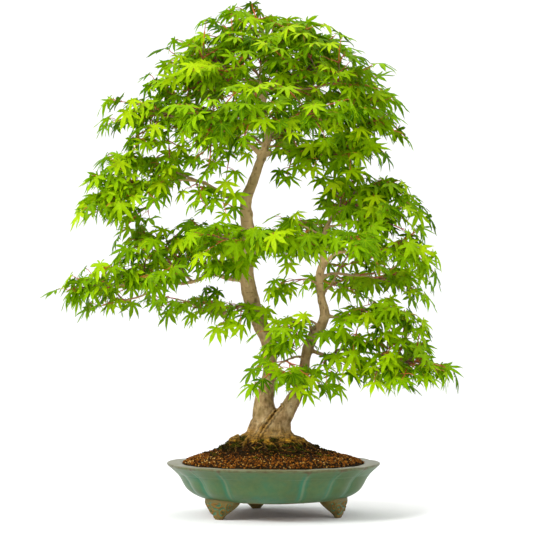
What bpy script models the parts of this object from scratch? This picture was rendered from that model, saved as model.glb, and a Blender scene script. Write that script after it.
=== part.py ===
"""A bonsai maple in a round, lobed pot on three feet: pot, drainage, soil, moss, wood and leafy shoots.

Metres, +Z up, the front towards -Y. Lengths below are in millimetres and are scaled once, by MM.
"""

import math
import random

import bmesh
import bpy
from mathutils import Vector
from mathutils.bvhtree import BVHTree

MM = 0.001
TAU = 2 * math.pi
GAP = 0.4

# Pot. Its plan is a circle pressed in at eight creases, with a softer crease midway along each lobe.
RIM_RADIUS = 150.0
RIM_HEIGHT = 75.0
BODY_BASE = 21.0
FLOOR_HEIGHT = 29.0
LOBES = 8
POT_SEGMENTS = 64
FIRST_CREASE = math.radians(-75)
OUTER_PROFILE = (  # radius, height, depth of the creases
    (62.0, BODY_BASE, 0.3),
    (82.0, 22.3, 1.0),
    (98.5, 24.2, 1.5),
    (104.0, 25.6, 1.5),
    (110.5, 28.8, 2.5),
    (117.5, 33.0, 3.5),
    (123.5, 38.5, 4.0),
    (128.5, 45.5, 4.0),
    (132.5, 53.0, 4.0),
    (137.5, 60.0, 3.5),
    (145.5, 66.5, 3.0),
    (RIM_RADIUS, 71.0, 2.5),
    (149.2, 74.2, 2.5),
)
INNER_PROFILE = (
    (146.5, RIM_HEIGHT, 2.5),
    (129.5, 74.6, 2.0),
    (126.5, 70.5, 2.0),
    (122.5, 52.0, 2.0),
    (114.0, 40.0, 2.0),
    (100.0, 31.0, 1.5),
    (94.0, FLOOR_HEIGHT, 1.0),
)
DRAIN_RADIUS = 15.0
WIRE_HOLE_RADIUS = 2.5
WIRE_HOLE_OFFSET = 46.0

# Feet: cabriole brackets that narrow towards the ground.
FOOT_ANGLES = tuple(math.radians(a) for a in (-141.0, -22.0, 104.8))
FOOT_PROFILE = (  # height, half width along the rim, inner radius, outer radius
    (26.0, 31.0, 77.0, 103.0),
    (20.0, 29.5, 79.5, 104.0),
    (15.0, 24.5, 83.5, 103.5),
    (10.0, 18.0, 87.5, 103.0),
    (5.0, 11.0, 91.0, 102.0),
    (0.0, 6.5, 92.5, 100.5),
)

# Drainage parts on the pot's floor.
SCREEN_SIDE = 46.0
SCREEN_THICKNESS = 1.2
SCREEN_WINDOWS = 5
SCREEN_BAR = 1.6
WIRE_RADIUS = 1.0
GRIT_TOP = 38.0

# Root flare: height, centre x, half width in x and in y, depth of the furrows between the roots.
FLARE_PROFILE = (
    (80.0, -10.0, 50.0, 44.0, 4.0),
    (90.0, -10.0, 58.0, 50.0, 7.0),
    (99.0, -10.0, 55.0, 47.0, 7.0),
    (105.0, -10.0, 50.0, 42.0, 6.0),
    (111.0, -9.0, 41.0, 34.0, 5.0),
    (119.0, -7.0, 32.0, 26.0, 4.0),
    (134.0, -4.0, 28.0, 20.0, 2.5),
    (148.0, -3.0, 24.0, 16.0, 1.5),
    (156.0, -2.0, 16.0, 11.0, 0.5),
)
FLARE_ROOTS = 7
FLARE_SEGMENTS = 28

# Soil mound: how far from the root flare (0) to the pot wall (1), and the height there.
MOUND = (
    (0.0, 104.5), (0.1, 102.5), (0.2, 99.0), (0.32, 95.0), (0.48, 91.5),
    (0.66, 87.5), (0.84, 81.5), (0.95, 77.0), (1.0, 74.0),
)
SOIL_SEGMENTS = 32
SOIL_BOTTOM = 38.6
ROOT_GAP = 0.7

# Moss: first and last soil segment of each cushion.
MOSS = {"moss_front": (21, 27), "moss_right": (29, 33), "moss_left": (13, 18), "moss_back": (6, 10)}
MOSS_RINGS = (0.1, 0.2, 0.32)
MOSS_HEIGHT = 3.0

# Wood: x, y, z and radius at points up each trunk.
MAIN_TRUNK = (
    (-12, 0, 132, 18.0), (-13, 0, 151, 15.5), (-12, 1, 167, 13.0), (-7, 2, 187, 10.7), (-5, 3, 210, 9.7),
    (-5, 4, 232, 11.2), (-10, 6, 249, 9.8), (-18, 8, 266, 11.0), (-25, 9, 286, 10.3), (-31, 10, 303, 11.2),
    (-35, 10, 320, 11.2), (-37, 9, 343, 9.0), (-35, 8, 363, 9.0), (-33, 7, 388, 9.6), (-37, 6, 411, 9.0),
    (-39, 6, 431, 8.5), (-37, 7, 450, 8.0), (-30, 9, 468, 7.2), (-23, 10, 487, 6.6), (-16, 10, 507, 6.4),
    (-9, 8, 526, 4.4), (-5, 6, 542, 4.0), (-9, 4, 558, 3.8), (-13, 2, 577, 3.4), (-13, 0, 597, 3.1),
    (-19, -3, 613, 2.2), (-18, -7, 636, 1.7), (-14, -10, 653, 1.2),
)
SECOND_TRUNK = (
    (8, -2, 128, 14.0), (18, -4, 145, 12.5), (29, -7, 164, 10.5), (37, -9, 179, 8.6), (42, -11, 199, 7.8),
    (45, -13, 219, 7.0), (49, -14, 237, 8.0), (57, -16, 254, 7.8), (67, -17, 266, 7.4), (72, -18, 282, 7.0),
    (68, -18, 302, 6.0), (65, -17, 320, 5.1), (65, -16, 338, 5.8), (70, -14, 356, 5.4), (69, -12, 375, 4.4),
    (71, -10, 393, 4.0), (78, -8, 411, 3.2), (91, -6, 428, 2.6), (107, -4, 443, 1.6), (114, -3, 448, 1.2),
)
# Branches: radius at the fork and points out to the tip, each starting inside what it grows from.
BRANCHES = {
    "left_mid": (3.6, (-39, 6, 449), (-63, 2, 449), (-84, -2, 460), (-101, -6, 469), (-130, -12, 472),
                 (-162, -20, 466), (-188, -28, 457)),
    "left_mid_upper": (1.9, (-106, -7, 470), (-138, 4, 484), (-170, 14, 493)),
    "left_mid_lower": (1.9, (-143, -15, 470), (-163, -4, 447), (-187, 8, 429)),
    "left_low": (3.6, (-39, 9, 333), (-61, 6, 333), (-90, 2, 340), (-106, -2, 331), (-129, -8, 326),
                 (-162, -16, 328), (-203, -26, 325), (-227, -31, 321)),
    "left_low_upper": (2.0, (-114, -4, 329), (-141, 10, 351), (-164, 24, 377)),
    "left_low_rear": (1.9, (-155, -15, 328), (-186, 6, 309), (-224, 24, 300)),
    "left_rear": (3.0, (-33, 10, 295), (-52, 24, 293), (-75, 44, 283), (-99, 62, 288), (-121, 80, 299),
                  (-142, 94, 305)),
    "right_mid": (2.9, (-13, 10, 510), (9, 4, 512), (32, 0, 514), (54, -6, 513), (80, -12, 524),
                  (98, -17, 526)),
    "right_mid_rear": (1.8, (44, -5, 514), (62, 4, 509), (84, 14, 507)),
    "right_upper": (2.6, (-5, 6, 541), (8, 10, 553), (24, 16, 561), (47, 24, 571), (81, 36, 587),
                    (94, 41, 590)),
    "right_upper_front": (1.8, (28, 17, 563), (74, 4, 558), (104, -10, 559)),
    "left_crown": (3.0, (-16, 10, 507), (-42, 4, 529), (-84, -4, 545), (-112, -10, 555), (-150, -19, 560)),
    "left_crown_rear": (1.8, (-78, -4, 543), (-104, 10, 566), (-130, 24, 579)),
    "left_top": (2.2, (-13, 1, 589), (-33, -4, 596), (-62, -12, 597), (-90, -19, 603)),
    "left_top_rear": (1.6, (-42, -7, 597), (-58, 16, 622), (-72, 34, 640)),
    "right_top": (1.9, (-18, -2, 606), (-5, 4, 607), (15, 14, 613), (44, 26, 628), (54, 30, 632)),
    "right_top_front": (1.5, (0, 7, 608), (34, -20, 599), (67, -46, 600), (84, -55, 602)),
    "apex_left": (1.5, (-20, -4, 618), (-34, -2, 642), (-48, 6, 656)),
    "apex_right": (1.4, (-19, -5, 624), (-4, -16, 650), (12, -24, 662)),
    "back_mid": (3.0, (-19, 10, 497), (-13, 50, 519), (-2, 92, 540), (12, 120, 553)),
    "back_mid_left": (1.9, (-10, 62, 525), (-40, 96, 550), (-76, 124, 567), (-96, 140, 571)),
    "front_low": (2.8, (-35, 7, 391), (-30, -30, 389), (-21, -66, 391), (-14, -92, 386)),
    "front_low_left": (1.7, (-28, -40, 389), (-49, -72, 388), (-66, -88, 384)),
    "front_low_right": (1.7, (-26, -52, 391), (3, -80, 390), (25, -95, 386)),
    "back_low": (3.0, (-35, 8, 365), (-28, 48, 381), (-16, 92, 394), (-16, 126, 398)),
    "back_low_left": (1.9, (-26, 58, 384), (-60, 100, 398), (-88, 120, 403)),
    "back_low_right": (1.9, (-20, 72, 389), (16, 108, 404), (42, 126, 412)),
    "front_crown": (2.6, (-8, 8, 530), (-13, -34, 543), (-16, -74, 552), (-22, -104, 560)),
    "front_crown_left": (1.7, (-13, -38, 545), (-49, -82, 546), (-75, -107, 549)),
    "front_crown_right": (1.7, (-15, -52, 549), (20, -92, 551), (46, -114, 553)),
    "back_crown": (2.2, (-13, 2, 580), (-8, 48, 603), (4, 90, 619), (13, 117, 627)),
    "back_crown_left": (1.5, (-4, 54, 607), (-37, 92, 631), (-62, 113, 640)),
    "second_right_upper": (2.6, (69, -14, 349), (81, -20, 363), (91, -24, 369), (110, -30, 369),
                           (136, -38, 372), (160, -44, 370)),
    "second_right_rear": (2.4, (65, -16, 332), (83, -6, 340), (109, 8, 338), (132, 20, 337), (158, 32, 332)),
    "second_right_mid": (2.4, (71, -18, 281), (90, -22, 279), (111, -30, 288), (131, -40, 289)),
    "second_low": (2.4, (49, -14, 233), (70, -14, 226), (82, -16, 225), (93, -18, 233), (128, -26, 230),
                   (169, -34, 219), (190, -37, 215)),
    "second_low_rear": (1.7, (87, -17, 229), (111, 10, 215), (141, 34, 203), (158, 44, 199)),
    "second_inner_stub": (2.0, (66, -17, 264), (52, -19, 273), (38, -36, 271)),
    "second_front_low": (1.9, (45, -13, 221), (31, -30, 223), (14, -54, 217), (2, -70, 209)),
    "second_inner_low": (1.7, (65, -17, 323), (50, -30, 331), (38, -40, 331)),
    "second_inner_upper": (1.7, (71, -11, 390), (54, -20, 401), (40, -26, 407)),
    "second_top_front": (1.7, (75, -9, 406), (99, -24, 408), (120, -34, 410)),
    "second_back": (2.2, (68, -18, 306), (78, 30, 320), (97, 76, 330), (112, 106, 333)),
    "second_back_upper": (1.5, (82, 38, 323), (103, 70, 359), (117, 88, 378)),
    "second_front": (2.0, (70, -13, 370), (76, -48, 380), (88, -84, 385), (99, -108, 387)),
    "second_top_rear": (1.5, (85, -7, 420), (98, 34, 432), (115, 70, 442)),
}
TIP_RADIUS = 1.1
TRUNK_SIDES = 9
BRANCH_SIDES = 5
TRUNK_GAP_BOX = ((-8, -34, 284), (54, 30, 312))

# Shoots: a young twig with opposite pairs of five-lobed leaves and one more leaf at its end.
LEAF_LENGTH = 27.0
LEAF_DROOP = 7.0
LOBE_ANGLES = tuple(math.radians(a) for a in (104, 54, 0, -54, -104))
LOBE_LENGTHS = (0.52, 0.86, 1.0, 0.86, 0.52)
SINUS_RADIUS = 0.34
PETIOLE = 13.0
PETIOLE_RADIUS = 0.6
TWIG_RADIUS = 0.9
PAIR_SPACING = 27.0
LONG_BRANCH = 150.0
SHOOT_TRIES = 60

MATERIALS = {  # linear colour, roughness
    "glazed_stoneware": ((0.115, 0.2, 0.115), 0.25),
    "soil_grains": ((0.13, 0.06, 0.02), 0.95),
    "drainage_grit": ((0.2, 0.15, 0.1), 0.95),
    "mesh_plastic": ((0.02, 0.02, 0.02), 0.5),
    "aluminium_wire": ((0.3, 0.2, 0.12), 0.45),
    "maple_bark": ((0.2, 0.14, 0.075), 0.85),
    "moss": ((0.06, 0.09, 0.015), 0.98),
    "maple_leaf": ((0.19, 0.42, 0.02), 0.45),
}


def clear_scene():
    for obj in list(bpy.data.objects):
        bpy.data.objects.remove(obj, do_unlink=True)


def material(name):
    """The Principled material of this name, made the first time it is asked for."""
    found = bpy.data.materials.get(name)
    if found:
        return found
    colour, roughness = MATERIALS[name]
    made = bpy.data.materials.new(name)
    made.use_nodes = True
    shader = made.node_tree.nodes["Principled BSDF"]
    shader.inputs["Base Color"].default_value = (*colour, 1)
    shader.inputs["Roughness"].default_value = roughness
    shader.inputs["Metallic"].default_value = 1.0 if name == "aluminium_wire" else 0.0
    return made


def polar(radius, angle, height):
    return Vector((radius * math.cos(angle), radius * math.sin(angle), height))


def ramp(pairs, x):
    """The value at x on straight runs between (x, value) pairs."""
    for (x0, v0), (x1, v1) in zip(pairs, pairs[1:]):
        if x <= x1:
            return v0 + (v1 - v0) * (x - x0) / (x1 - x0)
    return pairs[-1][1]


def mesh_of(name, points, faces):
    """A mesh in metres from points in millimetres, its faces turned outwards."""
    mesh = bpy.data.meshes.new(name)
    mesh.from_pydata([Vector(p) * MM for p in points], [], faces)
    work = bmesh.new()
    work.from_mesh(mesh)
    bmesh.ops.recalc_face_normals(work, faces=work.faces)
    work.to_mesh(mesh)
    work.free()
    return mesh


def add_object(name, mesh, material_name, helper=False):
    obj = bpy.data.objects.new(name, mesh)
    bpy.context.scene.collection.objects.link(obj)
    mesh.materials.append(material(material_name))
    mesh.shade_smooth()
    mesh.set_sharp_from_angle(angle=math.radians(40))
    if helper:
        obj.hide_render = True
        obj.display_type = "WIRE"
    return obj


def loft(name, rings):
    """A closed mesh through rings that each hold the same number of points, with flat ends."""
    count = len(rings[0])
    points = [p for ring in rings for p in ring]
    faces = [
        (a + i, a + (i + 1) % count, a + count + (i + 1) % count, a + count + i)
        for a in range(0, len(points) - count, count)
        for i in range(count)
    ]
    faces.append(tuple(range(count)))
    faces.append(tuple(range(len(points) - count, len(points))))
    return mesh_of(name, points, faces)


def tube(name, path, radii, sides):
    """A closed tube along the path, its frame carried from point to point without twisting."""
    path = [Vector(p) for p in path]
    rings = []
    side = Vector((0, 0, 1))
    for i, centre in enumerate(path):
        along = (path[min(i + 1, len(path) - 1)] - path[max(i - 1, 0)]).normalized()
        side = side - along * side.dot(along)
        if side.length < 0.2:
            side = Vector((0, 1, 0)) - along * along.y
        side.normalize()
        across = along.cross(side)
        turns = [TAU * k / sides for k in range(sides)]
        rings.append([centre + (side * math.cos(t) + across * math.sin(t)) * radii[i] for t in turns])
    return loft(name, rings)


def boolean(obj, operation, other):
    cut = obj.modifiers.new(other.name, "BOOLEAN")
    cut.operation = operation
    cut.solver = "EXACT"
    if isinstance(other, bpy.types.Collection):
        cut.operand_type = "COLLECTION"
        cut.collection = other
    else:
        cut.object = other
    return cut


def helper_collection(name, objects):
    group = bpy.data.collections.new(name)
    bpy.context.scene.collection.children.link(group)
    for obj in objects:
        bpy.context.scene.collection.objects.unlink(obj)
        group.objects.link(obj)
    return group


def applied(obj):
    """Turn the object's mesh into what its modifiers make of it."""
    graph = bpy.context.evaluated_depsgraph_get()
    mesh = bpy.data.meshes.new_from_object(obj.evaluated_get(graph))
    obj.modifiers.clear()
    obj.data = mesh
    return obj


# ---- pot -------------------------------------------------------------------------------------------


def crease(angle):
    """How far the plan is pressed in, 0 to 1: sharply between lobes and softly at each lobe's middle."""
    turn = (angle - FIRST_CREASE) * LOBES / TAU
    across = 2 * abs((turn + 0.5) % 1 - 0.5)
    return (1 - across) ** 2 + 0.3 * max(0.0, 2 * across - 1) ** 2


def lobed_ring(radius, height, depth, segments, shrink=0.0):
    angles = [FIRST_CREASE + TAU * i / segments for i in range(segments)]
    return [polar(radius - shrink - depth * crease(a), a, height) for a in angles]


def foot_mesh(angle):
    rings = []
    for height, half_width, inner, outer in FOOT_PROFILE:
        ring = []
        for k in range(12):
            turn = TAU * k / 12
            wide = math.copysign(abs(math.cos(turn)) ** 0.6, math.cos(turn)) * half_width
            deep = math.copysign(abs(math.sin(turn)) ** 0.6, math.sin(turn)) * (outer - inner) / 2
            radius = (outer + inner) / 2 + deep
            ring.append(polar(radius, angle + wide / outer, height))
        rings.append(ring)
    return loft("foot", rings)


def cylinder(name, x, radius, low, high, sides):
    rings = [[Vector((x, 0, z)) + polar(radius, TAU * k / sides, 0) for k in range(sides)] for z in (low, high)]
    return add_object(name, loft(name, rings), "glazed_stoneware", helper=True)


def make_pot():
    rings = [lobed_ring(*row, POT_SEGMENTS) for row in OUTER_PROFILE + INNER_PROFILE]
    pot = add_object("pot", loft("pot", rings), "glazed_stoneware")
    feet = [add_object("foot", foot_mesh(a), "glazed_stoneware", helper=True) for a in FOOT_ANGLES]
    holes = [cylinder("drain_cutter", 0, DRAIN_RADIUS, BODY_BASE - 5, FLOOR_HEIGHT + 5, 24)]
    for side in (-1, 1):
        x = side * WIRE_HOLE_OFFSET
        holes.append(cylinder("wire_hole_cutter", x, WIRE_HOLE_RADIUS, BODY_BASE - 5, FLOOR_HEIGHT + 5, 10))
    boolean(pot, "UNION", helper_collection("feet", feet))
    boolean(pot, "DIFFERENCE", helper_collection("pot_holes", holes))


# ---- drainage --------------------------------------------------------------------------------------


def make_screen():
    """A square of plastic mesh over the drain hole: a grid of bars with open windows."""
    pitch = (SCREEN_SIDE - SCREEN_BAR) / SCREEN_WINDOWS
    lines = []
    for i in range(SCREEN_WINDOWS + 1):
        start = -SCREEN_SIDE / 2 + i * pitch
        lines += [start, start + SCREEN_BAR]
    count = len(lines)
    work = bmesh.new()
    grid = [[work.verts.new((x * MM, y * MM, (FLOOR_HEIGHT + GAP) * MM)) for y in lines] for x in lines]
    for i in range(count - 1):
        for j in range(count - 1):
            if i % 2 == 0 or j % 2 == 0:
                work.faces.new((grid[i][j], grid[i + 1][j], grid[i + 1][j + 1], grid[i][j + 1]))
    top = bmesh.ops.extrude_face_region(work, geom=list(work.faces))["geom"]
    raised = [v for v in top if isinstance(v, bmesh.types.BMVert)]
    bmesh.ops.translate(work, vec=(0, 0, SCREEN_THICKNESS * MM), verts=raised)
    bmesh.ops.recalc_face_normals(work, faces=work.faces)
    mesh = bpy.data.meshes.new("drainage_screen")
    work.to_mesh(mesh)
    work.free()
    add_object("drainage_screen", mesh, "mesh_plastic")


def clip_path():
    """A staple across the screen, its legs through two windows and bent out under the pot."""
    leg = (SCREEN_SIDE - SCREEN_BAR) / SCREEN_WINDOWS
    top = FLOOR_HEIGHT + GAP + SCREEN_THICKNESS + GAP + WIRE_RADIUS
    under = BODY_BASE - GAP - WIRE_RADIUS
    half = [(leg * 0.5, 0, top), (leg * 0.86, 0, top - 0.4), (leg, 0, top - 1.8), (leg, 0, 25),
            (leg, 0, under + 2.0), (leg + 1.4, 0, under + 0.4), (leg + 4, 0, under), (leg + 15, 0, under)]
    return [(-x, y, z) for x, y, z in reversed(half)] + half


def tie_path():
    """The wire that holds the tree down: under the floor, up both small holes and to the root flare."""
    under = BODY_BASE - GAP - WIRE_RADIUS - 2.6
    hole = WIRE_HOLE_OFFSET
    half = [(hole - 22, 0, under), (hole - 3, 0, under), (hole - 0.6, 0, under + 0.8), (hole, 0, under + 3),
            (hole, 0, 31), (hole + 4, 0, 50), (hole + 5, 0, 64), (hole + 6, 0, 77)]
    return [(-x, y, z) for x, y, z in reversed(half)] + half


def wire(name, path, extra=0.0, helper=False):
    mesh = tube(name, path, [WIRE_RADIUS + extra] * len(path), 6)
    return add_object(name, mesh, "aluminium_wire", helper)


def box_mesh(name, low, high):
    (x0, y0, z0), (x1, y1, z1) = low, high
    rings = [[(x0, y0, z), (x1, y0, z), (x1, y1, z), (x0, y1, z)] for z in (z0, z1)]
    return loft(name, rings)


def make_drainage():
    make_screen()
    wire("screen_clip", clip_path())
    wire("tie_wire", tie_path())
    grit_profile = ((94.0, FLOOR_HEIGHT + GAP, 1.0), (98.5, 31.4, 1.5), (110.0, GRIT_TOP, 2.0))
    rings = [lobed_ring(r, z, d, SOIL_SEGMENTS, 2.5 * GAP) for r, z, d in grit_profile]
    grit = add_object("drainage_grit", loft("drainage_grit", rings), "drainage_grit")
    reach = SCREEN_SIDE / 2 + 1
    recess = box_mesh("screen_recess", (-reach, -reach, FLOOR_HEIGHT - 2), (reach, reach, FLOOR_HEIGHT + 5))
    helpers = [add_object("screen_recess", recess, "drainage_grit", helper=True)]
    helpers.append(wire("grit_channel", tie_path(), extra=2 * GAP, helper=True))
    boolean(grit, "DIFFERENCE", helper_collection("grit_cutters", helpers))


# ---- soil and moss ---------------------------------------------------------------------------------


def flare_ring(row, segments, grow=0.0):
    height, centre, half_x, half_y, furrow = row
    ring = []
    for i in range(segments):
        angle = FIRST_CREASE + TAU * i / segments
        dip = furrow * (0.5 - 0.5 * math.cos(FLARE_ROOTS * angle + 0.8)) - grow
        ring.append(Vector((centre + (half_x - dip) * math.cos(angle), (half_y - dip) * math.sin(angle), height)))
    return ring


def soil_ring(share, lift=0.0):
    """Points round the soil's surface, share of the way from the root flare to the pot's wall."""
    inner = flare_ring(FLARE_PROFILE[3], SOIL_SEGMENTS, ROOT_GAP + 0.8)
    outer = lobed_ring(127.0, 0, 2.0, SOIL_SEGMENTS, 2.5 * GAP)
    ring = []
    for i, (a, b) in enumerate(zip(inner, outer)):
        uneven = 0.9 * math.sin(3.1 * i + 9 * share) * math.sin(math.pi * share)
        point = a.lerp(b, share)
        point.z = ramp(MOUND, share) + uneven + lift
        ring.append(point)
    return ring


def make_soil():
    pocket = [flare_ring(row, SOIL_SEGMENTS, ROOT_GAP + 0.8) for row in FLARE_PROFILE[:3]]
    for point in pocket[0]:
        point.z -= GAP + 0.2
    surface = [soil_ring(share) for share, _ in MOUND]
    wall_profile = ((126.5, 70.5, 2.0), (122.5, 52.0, 2.0), (114.0, 40.0, 2.0), (112.5, SOIL_BOTTOM, 2.0))
    wall = [lobed_ring(r, z, d, SOIL_SEGMENTS, 2.5 * GAP) for r, z, d in wall_profile]
    soil = add_object("soil", loft("soil", pocket + surface + wall), "soil_grains")
    boolean(soil, "DIFFERENCE", wire("soil_channel", tie_path(), extra=2 * GAP, helper=True))


def make_moss(name, first, last):
    """A low cushion that follows the soil's own surface points."""
    columns = list(range(first, last + 1))
    low = [[soil_ring(s, 2 * GAP)[c % SOIL_SEGMENTS] for c in columns] for s in MOSS_RINGS]
    points = []
    for layer in (0, 1):
        for r, row in enumerate(low):
            for c, point in enumerate(row):
                along = math.sin(math.pi * c / (len(row) - 1))
                rise = 0.6 + MOSS_HEIGHT * along * (1.0 if r == 1 else 0.35)
                points.append(point + Vector((0, 0, layer * rise)))
    wide = len(columns)
    half = wide * len(MOSS_RINGS)
    faces = []
    for r in range(len(MOSS_RINGS) - 1):
        for c in range(wide - 1):
            a = r * wide + c
            faces.append((a, a + 1, a + wide + 1, a + wide))
            faces.append((half + a, half + a + wide, half + a + wide + 1, half + a + 1))
    edge = list(range(wide)) + [wide * (r + 1) - 1 for r in range(1, len(MOSS_RINGS))]
    edge += list(range(half - 2, half - wide - 1, -1)) + [wide * r for r in range(len(MOSS_RINGS) - 2, 0, -1)]
    for a, b in zip(edge, edge[1:] + edge[:1]):
        faces.append((a, b, half + b, half + a))
    add_object(name, mesh_of(name, points, faces), "moss")


# ---- wood ------------------------------------------------------------------------------------------


def branch_radii(base, count):
    return [base + (TIP_RADIUS - base) * (k / (count - 1)) ** 0.8 for k in range(count)]


def make_wood():
    flare = [flare_ring(row, FLARE_SEGMENTS) for row in FLARE_PROFILE]
    wood = add_object("trunks_and_branches", loft("trunks_and_branches", flare), "maple_bark")
    grown = []
    for name, points in (("main_trunk", MAIN_TRUNK), ("second_trunk", SECOND_TRUNK)):
        path = [p[:3] for p in points]
        radii = [p[3] for p in points]
        grown.append(add_object(name, tube(name, path, radii, TRUNK_SIDES), "maple_bark", helper=True))
    for name, (base, *path) in BRANCHES.items():
        mesh = tube(name, path, branch_radii(base, len(path)), BRANCH_SIDES)
        grown.append(add_object(name, mesh, "maple_bark", helper=True))
    boolean(wood, "UNION", helper_collection("grown_wood", grown))
    return applied(wood)


# ---- shoots ----------------------------------------------------------------------------------------


class Shoot:
    """One young twig with its leaves, built as a single closed skin."""

    def __init__(self, seed):
        self.points = []
        self.faces = []
        self.random = random.Random(seed)

    def ring(self, centre, side, up, radius):
        """Four points round the centre: left, top, right, bottom. Returns their numbers."""
        first = len(self.points)
        self.points += [centre - side * radius, centre + up * radius, centre + side * radius, centre - up * radius]
        return list(range(first, first + 4))

    def bridge(self, a, b, skip=()):
        for k in range(4):
            if k not in skip:
                self.faces.append((a[k], a[(k + 1) % 4], b[(k + 1) % 4], b[k]))

    def leaf(self, start, base, along, up, size):
        """A petiole from the four-point start to a five-lobed blade that droops towards its tips."""
        side = along.cross(up).normalized()
        up = side.cross(along).normalized()
        end = self.ring(base, side, up, PETIOLE_RADIUS)
        self.bridge(start, end)
        blade_along = (along * 0.86 - up * 0.5).normalized()
        blade_up = side.cross(blade_along).normalized()
        outline = [end[0]]
        for k, (angle, length) in enumerate(zip(LOBE_ANGLES, LOBE_LENGTHS)):
            angle += self.random.uniform(-0.05, 0.05)
            outline.append(self.blade_point(base, blade_along, -side, blade_up, angle, length * size, size))
            if k < len(LOBE_ANGLES) - 1:
                between = (angle + LOBE_ANGLES[k + 1]) / 2
                reach = SINUS_RADIUS * size
                outline.append(self.blade_point(base, blade_along, -side, blade_up, between, reach, size))
        outline.append(end[2])
        for a, b in zip(outline, outline[1:]):
            self.faces.append((end[1], a, b))
            self.faces.append((end[3], b, a))

    def blade_point(self, base, along, left, up, angle, reach, size):
        sag = LEAF_DROOP * (reach / size) ** 2
        self.points.append(base + along * (math.cos(angle) * reach) + left * (math.sin(angle) * reach) - up * sag)
        return len(self.points) - 1

    def grow(self, start, along, pairs):
        """The twig from its start, with this many leaf pairs and the leaf at its end."""
        up = Vector((0, 0, 1)) - along * along.z
        up.normalize()
        up = (up + along.cross(up) * self.random.uniform(-0.35, 0.35)).normalized()
        side = along.cross(up).normalized()
        ring = self.ring(start, side, up, TWIG_RADIUS)
        self.faces.append(tuple(reversed(ring)))
        centre = start
        for k in range(pairs):
            step = 6.0 if k == 0 else PAIR_SPACING
            centre = centre + along * step
            fresh = self.ring(centre, side, up, TWIG_RADIUS)
            self.bridge(ring, fresh)
            node = self.ring(centre + along * 2.2, side, up, TWIG_RADIUS)
            for hand, skipped in ((-1, 0), (1, 2)):
                self.side_leaf(fresh, node, skipped, centre, along, side * hand, up, k)
            self.bridge(fresh, node, skip=(0, 2))
            ring = node
            centre = centre + along * 2.2
            along = (along - Vector((0, 0, 0.16))).normalized()
            up = side.cross(along).normalized()
        self.leaf(ring, centre + along * (PETIOLE + 11), along, up, LEAF_LENGTH)

    def side_leaf(self, fresh, node, skipped, centre, along, outward, up, k):
        """A leaf whose petiole grows from one long side of the twig between two rings."""
        a, b = skipped, (skipped + 1) % 4
        start = [fresh[a], fresh[b], node[b], node[a]]
        if skipped:
            start = start[2:] + start[:2]
        turn = math.radians(self.random.uniform(70, 84) - 5 * k)
        heading = (along * math.cos(turn) + outward * math.sin(turn)).normalized()
        lift = up * self.random.uniform(0.0, 0.25)
        heading = (heading + lift).normalized()
        base = centre + along * 1.1 + heading * (PETIOLE + self.random.uniform(-1, 3))
        self.leaf(start, base, heading, up, LEAF_LENGTH * self.random.uniform(0.9, 1.05))

    def tree(self):
        return BVHTree.FromPolygons([Vector(p) for p in self.points], self.triangles())

    def triangles(self):
        return [(f[0], f[k], f[k + 1]) for f in self.faces for k in range(1, len(f) - 1)]

    def crosses_itself(self):
        triangles = self.triangles()
        hits = self.tree().overlap(self.tree())
        return any(not set(triangles[a]) & set(triangles[b]) for a, b in hits)


def obstacle(points, faces):
    return BVHTree.FromPolygons(points, faces)


def world_tree(obj):
    return obstacle([v.co / MM for v in obj.data.vertices], [tuple(p.vertices) for p in obj.data.polygons])


def shoot_places():
    """Each shoot's name, start and heading: one at the tip of each trunk and branch."""
    tips = {name: path for name, (_, *path) in BRANCHES.items()}
    tips["apex"] = [p[:3] for p in MAIN_TRUNK]
    tips["second_top"] = [p[:3] for p in SECOND_TRUNK]
    for name, path in tips.items():
        heading = (Vector(path[-1]) - Vector(path[-2])).normalized()
        length = (Vector(path[-1]) - Vector(path[0])).length if name in BRANCHES else 0
        yield name, Vector(path[-1]) + heading * GAP, heading, 3 if length > LONG_BRANCH else 2


def make_shoots(wood):
    """Grow every shoot, turning it until it crosses neither itself nor anything already there."""
    low, high = TRUNK_GAP_BOX
    gap_box = box_mesh("gap", low, high)
    taken = [world_tree(wood), obstacle([v.co / MM for v in gap_box.vertices],
                                        [tuple(p.vertices) for p in gap_box.polygons])]
    bpy.data.meshes.remove(gap_box)
    for number, (name, start, heading, pairs) in enumerate(shoot_places()):
        for attempt in range(SHOOT_TRIES):
            shoot = Shoot(1000 * number + attempt)
            spread = 0.1 + 0.012 * attempt
            turn = Vector([shoot.random.uniform(-spread, spread) for _ in range(3)])
            shoot.grow(start, (heading + turn).normalized(), pairs)
            tree = shoot.tree()
            if not shoot.crosses_itself() and not any(tree.overlap(other) for other in taken):
                break
        else:
            raise RuntimeError(f"no free place for the shoot {name}")
        taken.append(tree)
        add_object(f"shoot_{name}", mesh_of(name, shoot.points, shoot.faces), "maple_leaf")


# ---- whole part ------------------------------------------------------------------------------------


def stand_on_origin():
    """Parent every object to an empty and move it so that the whole part's box stands centred on the origin."""
    bpy.context.view_layer.update()
    shown = [o for o in bpy.data.objects if o.type == "MESH" and not o.hide_render]
    graph = bpy.context.evaluated_depsgraph_get()
    corners = [Vector(c) for o in shown for c in o.evaluated_get(graph).bound_box]
    low, high = ([pick(c[axis] for c in corners) for axis in range(3)] for pick in (min, max))
    root = bpy.data.objects.new("bonsai", None)
    bpy.context.scene.collection.objects.link(root)
    for obj in [o for o in bpy.data.objects if o.type == "MESH"]:
        obj.parent = root
    root.location = (-(low[0] + high[0]) / 2, -(low[1] + high[1]) / 2, -low[2])


def main():
    clear_scene()
    make_pot()
    make_drainage()
    make_soil()
    for name, (first, last) in MOSS.items():
        make_moss(name, first, last)
    make_shoots(make_wood())
    stand_on_origin()


main()
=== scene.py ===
"""The looks of a potted bonsai maple round its fixed frame: glazed pot, soil, moss, bark and leaves.

Lengths are in millimetres, measured from the pot's own axis on the ground, unless a name or comment says
otherwise.
"""

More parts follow.
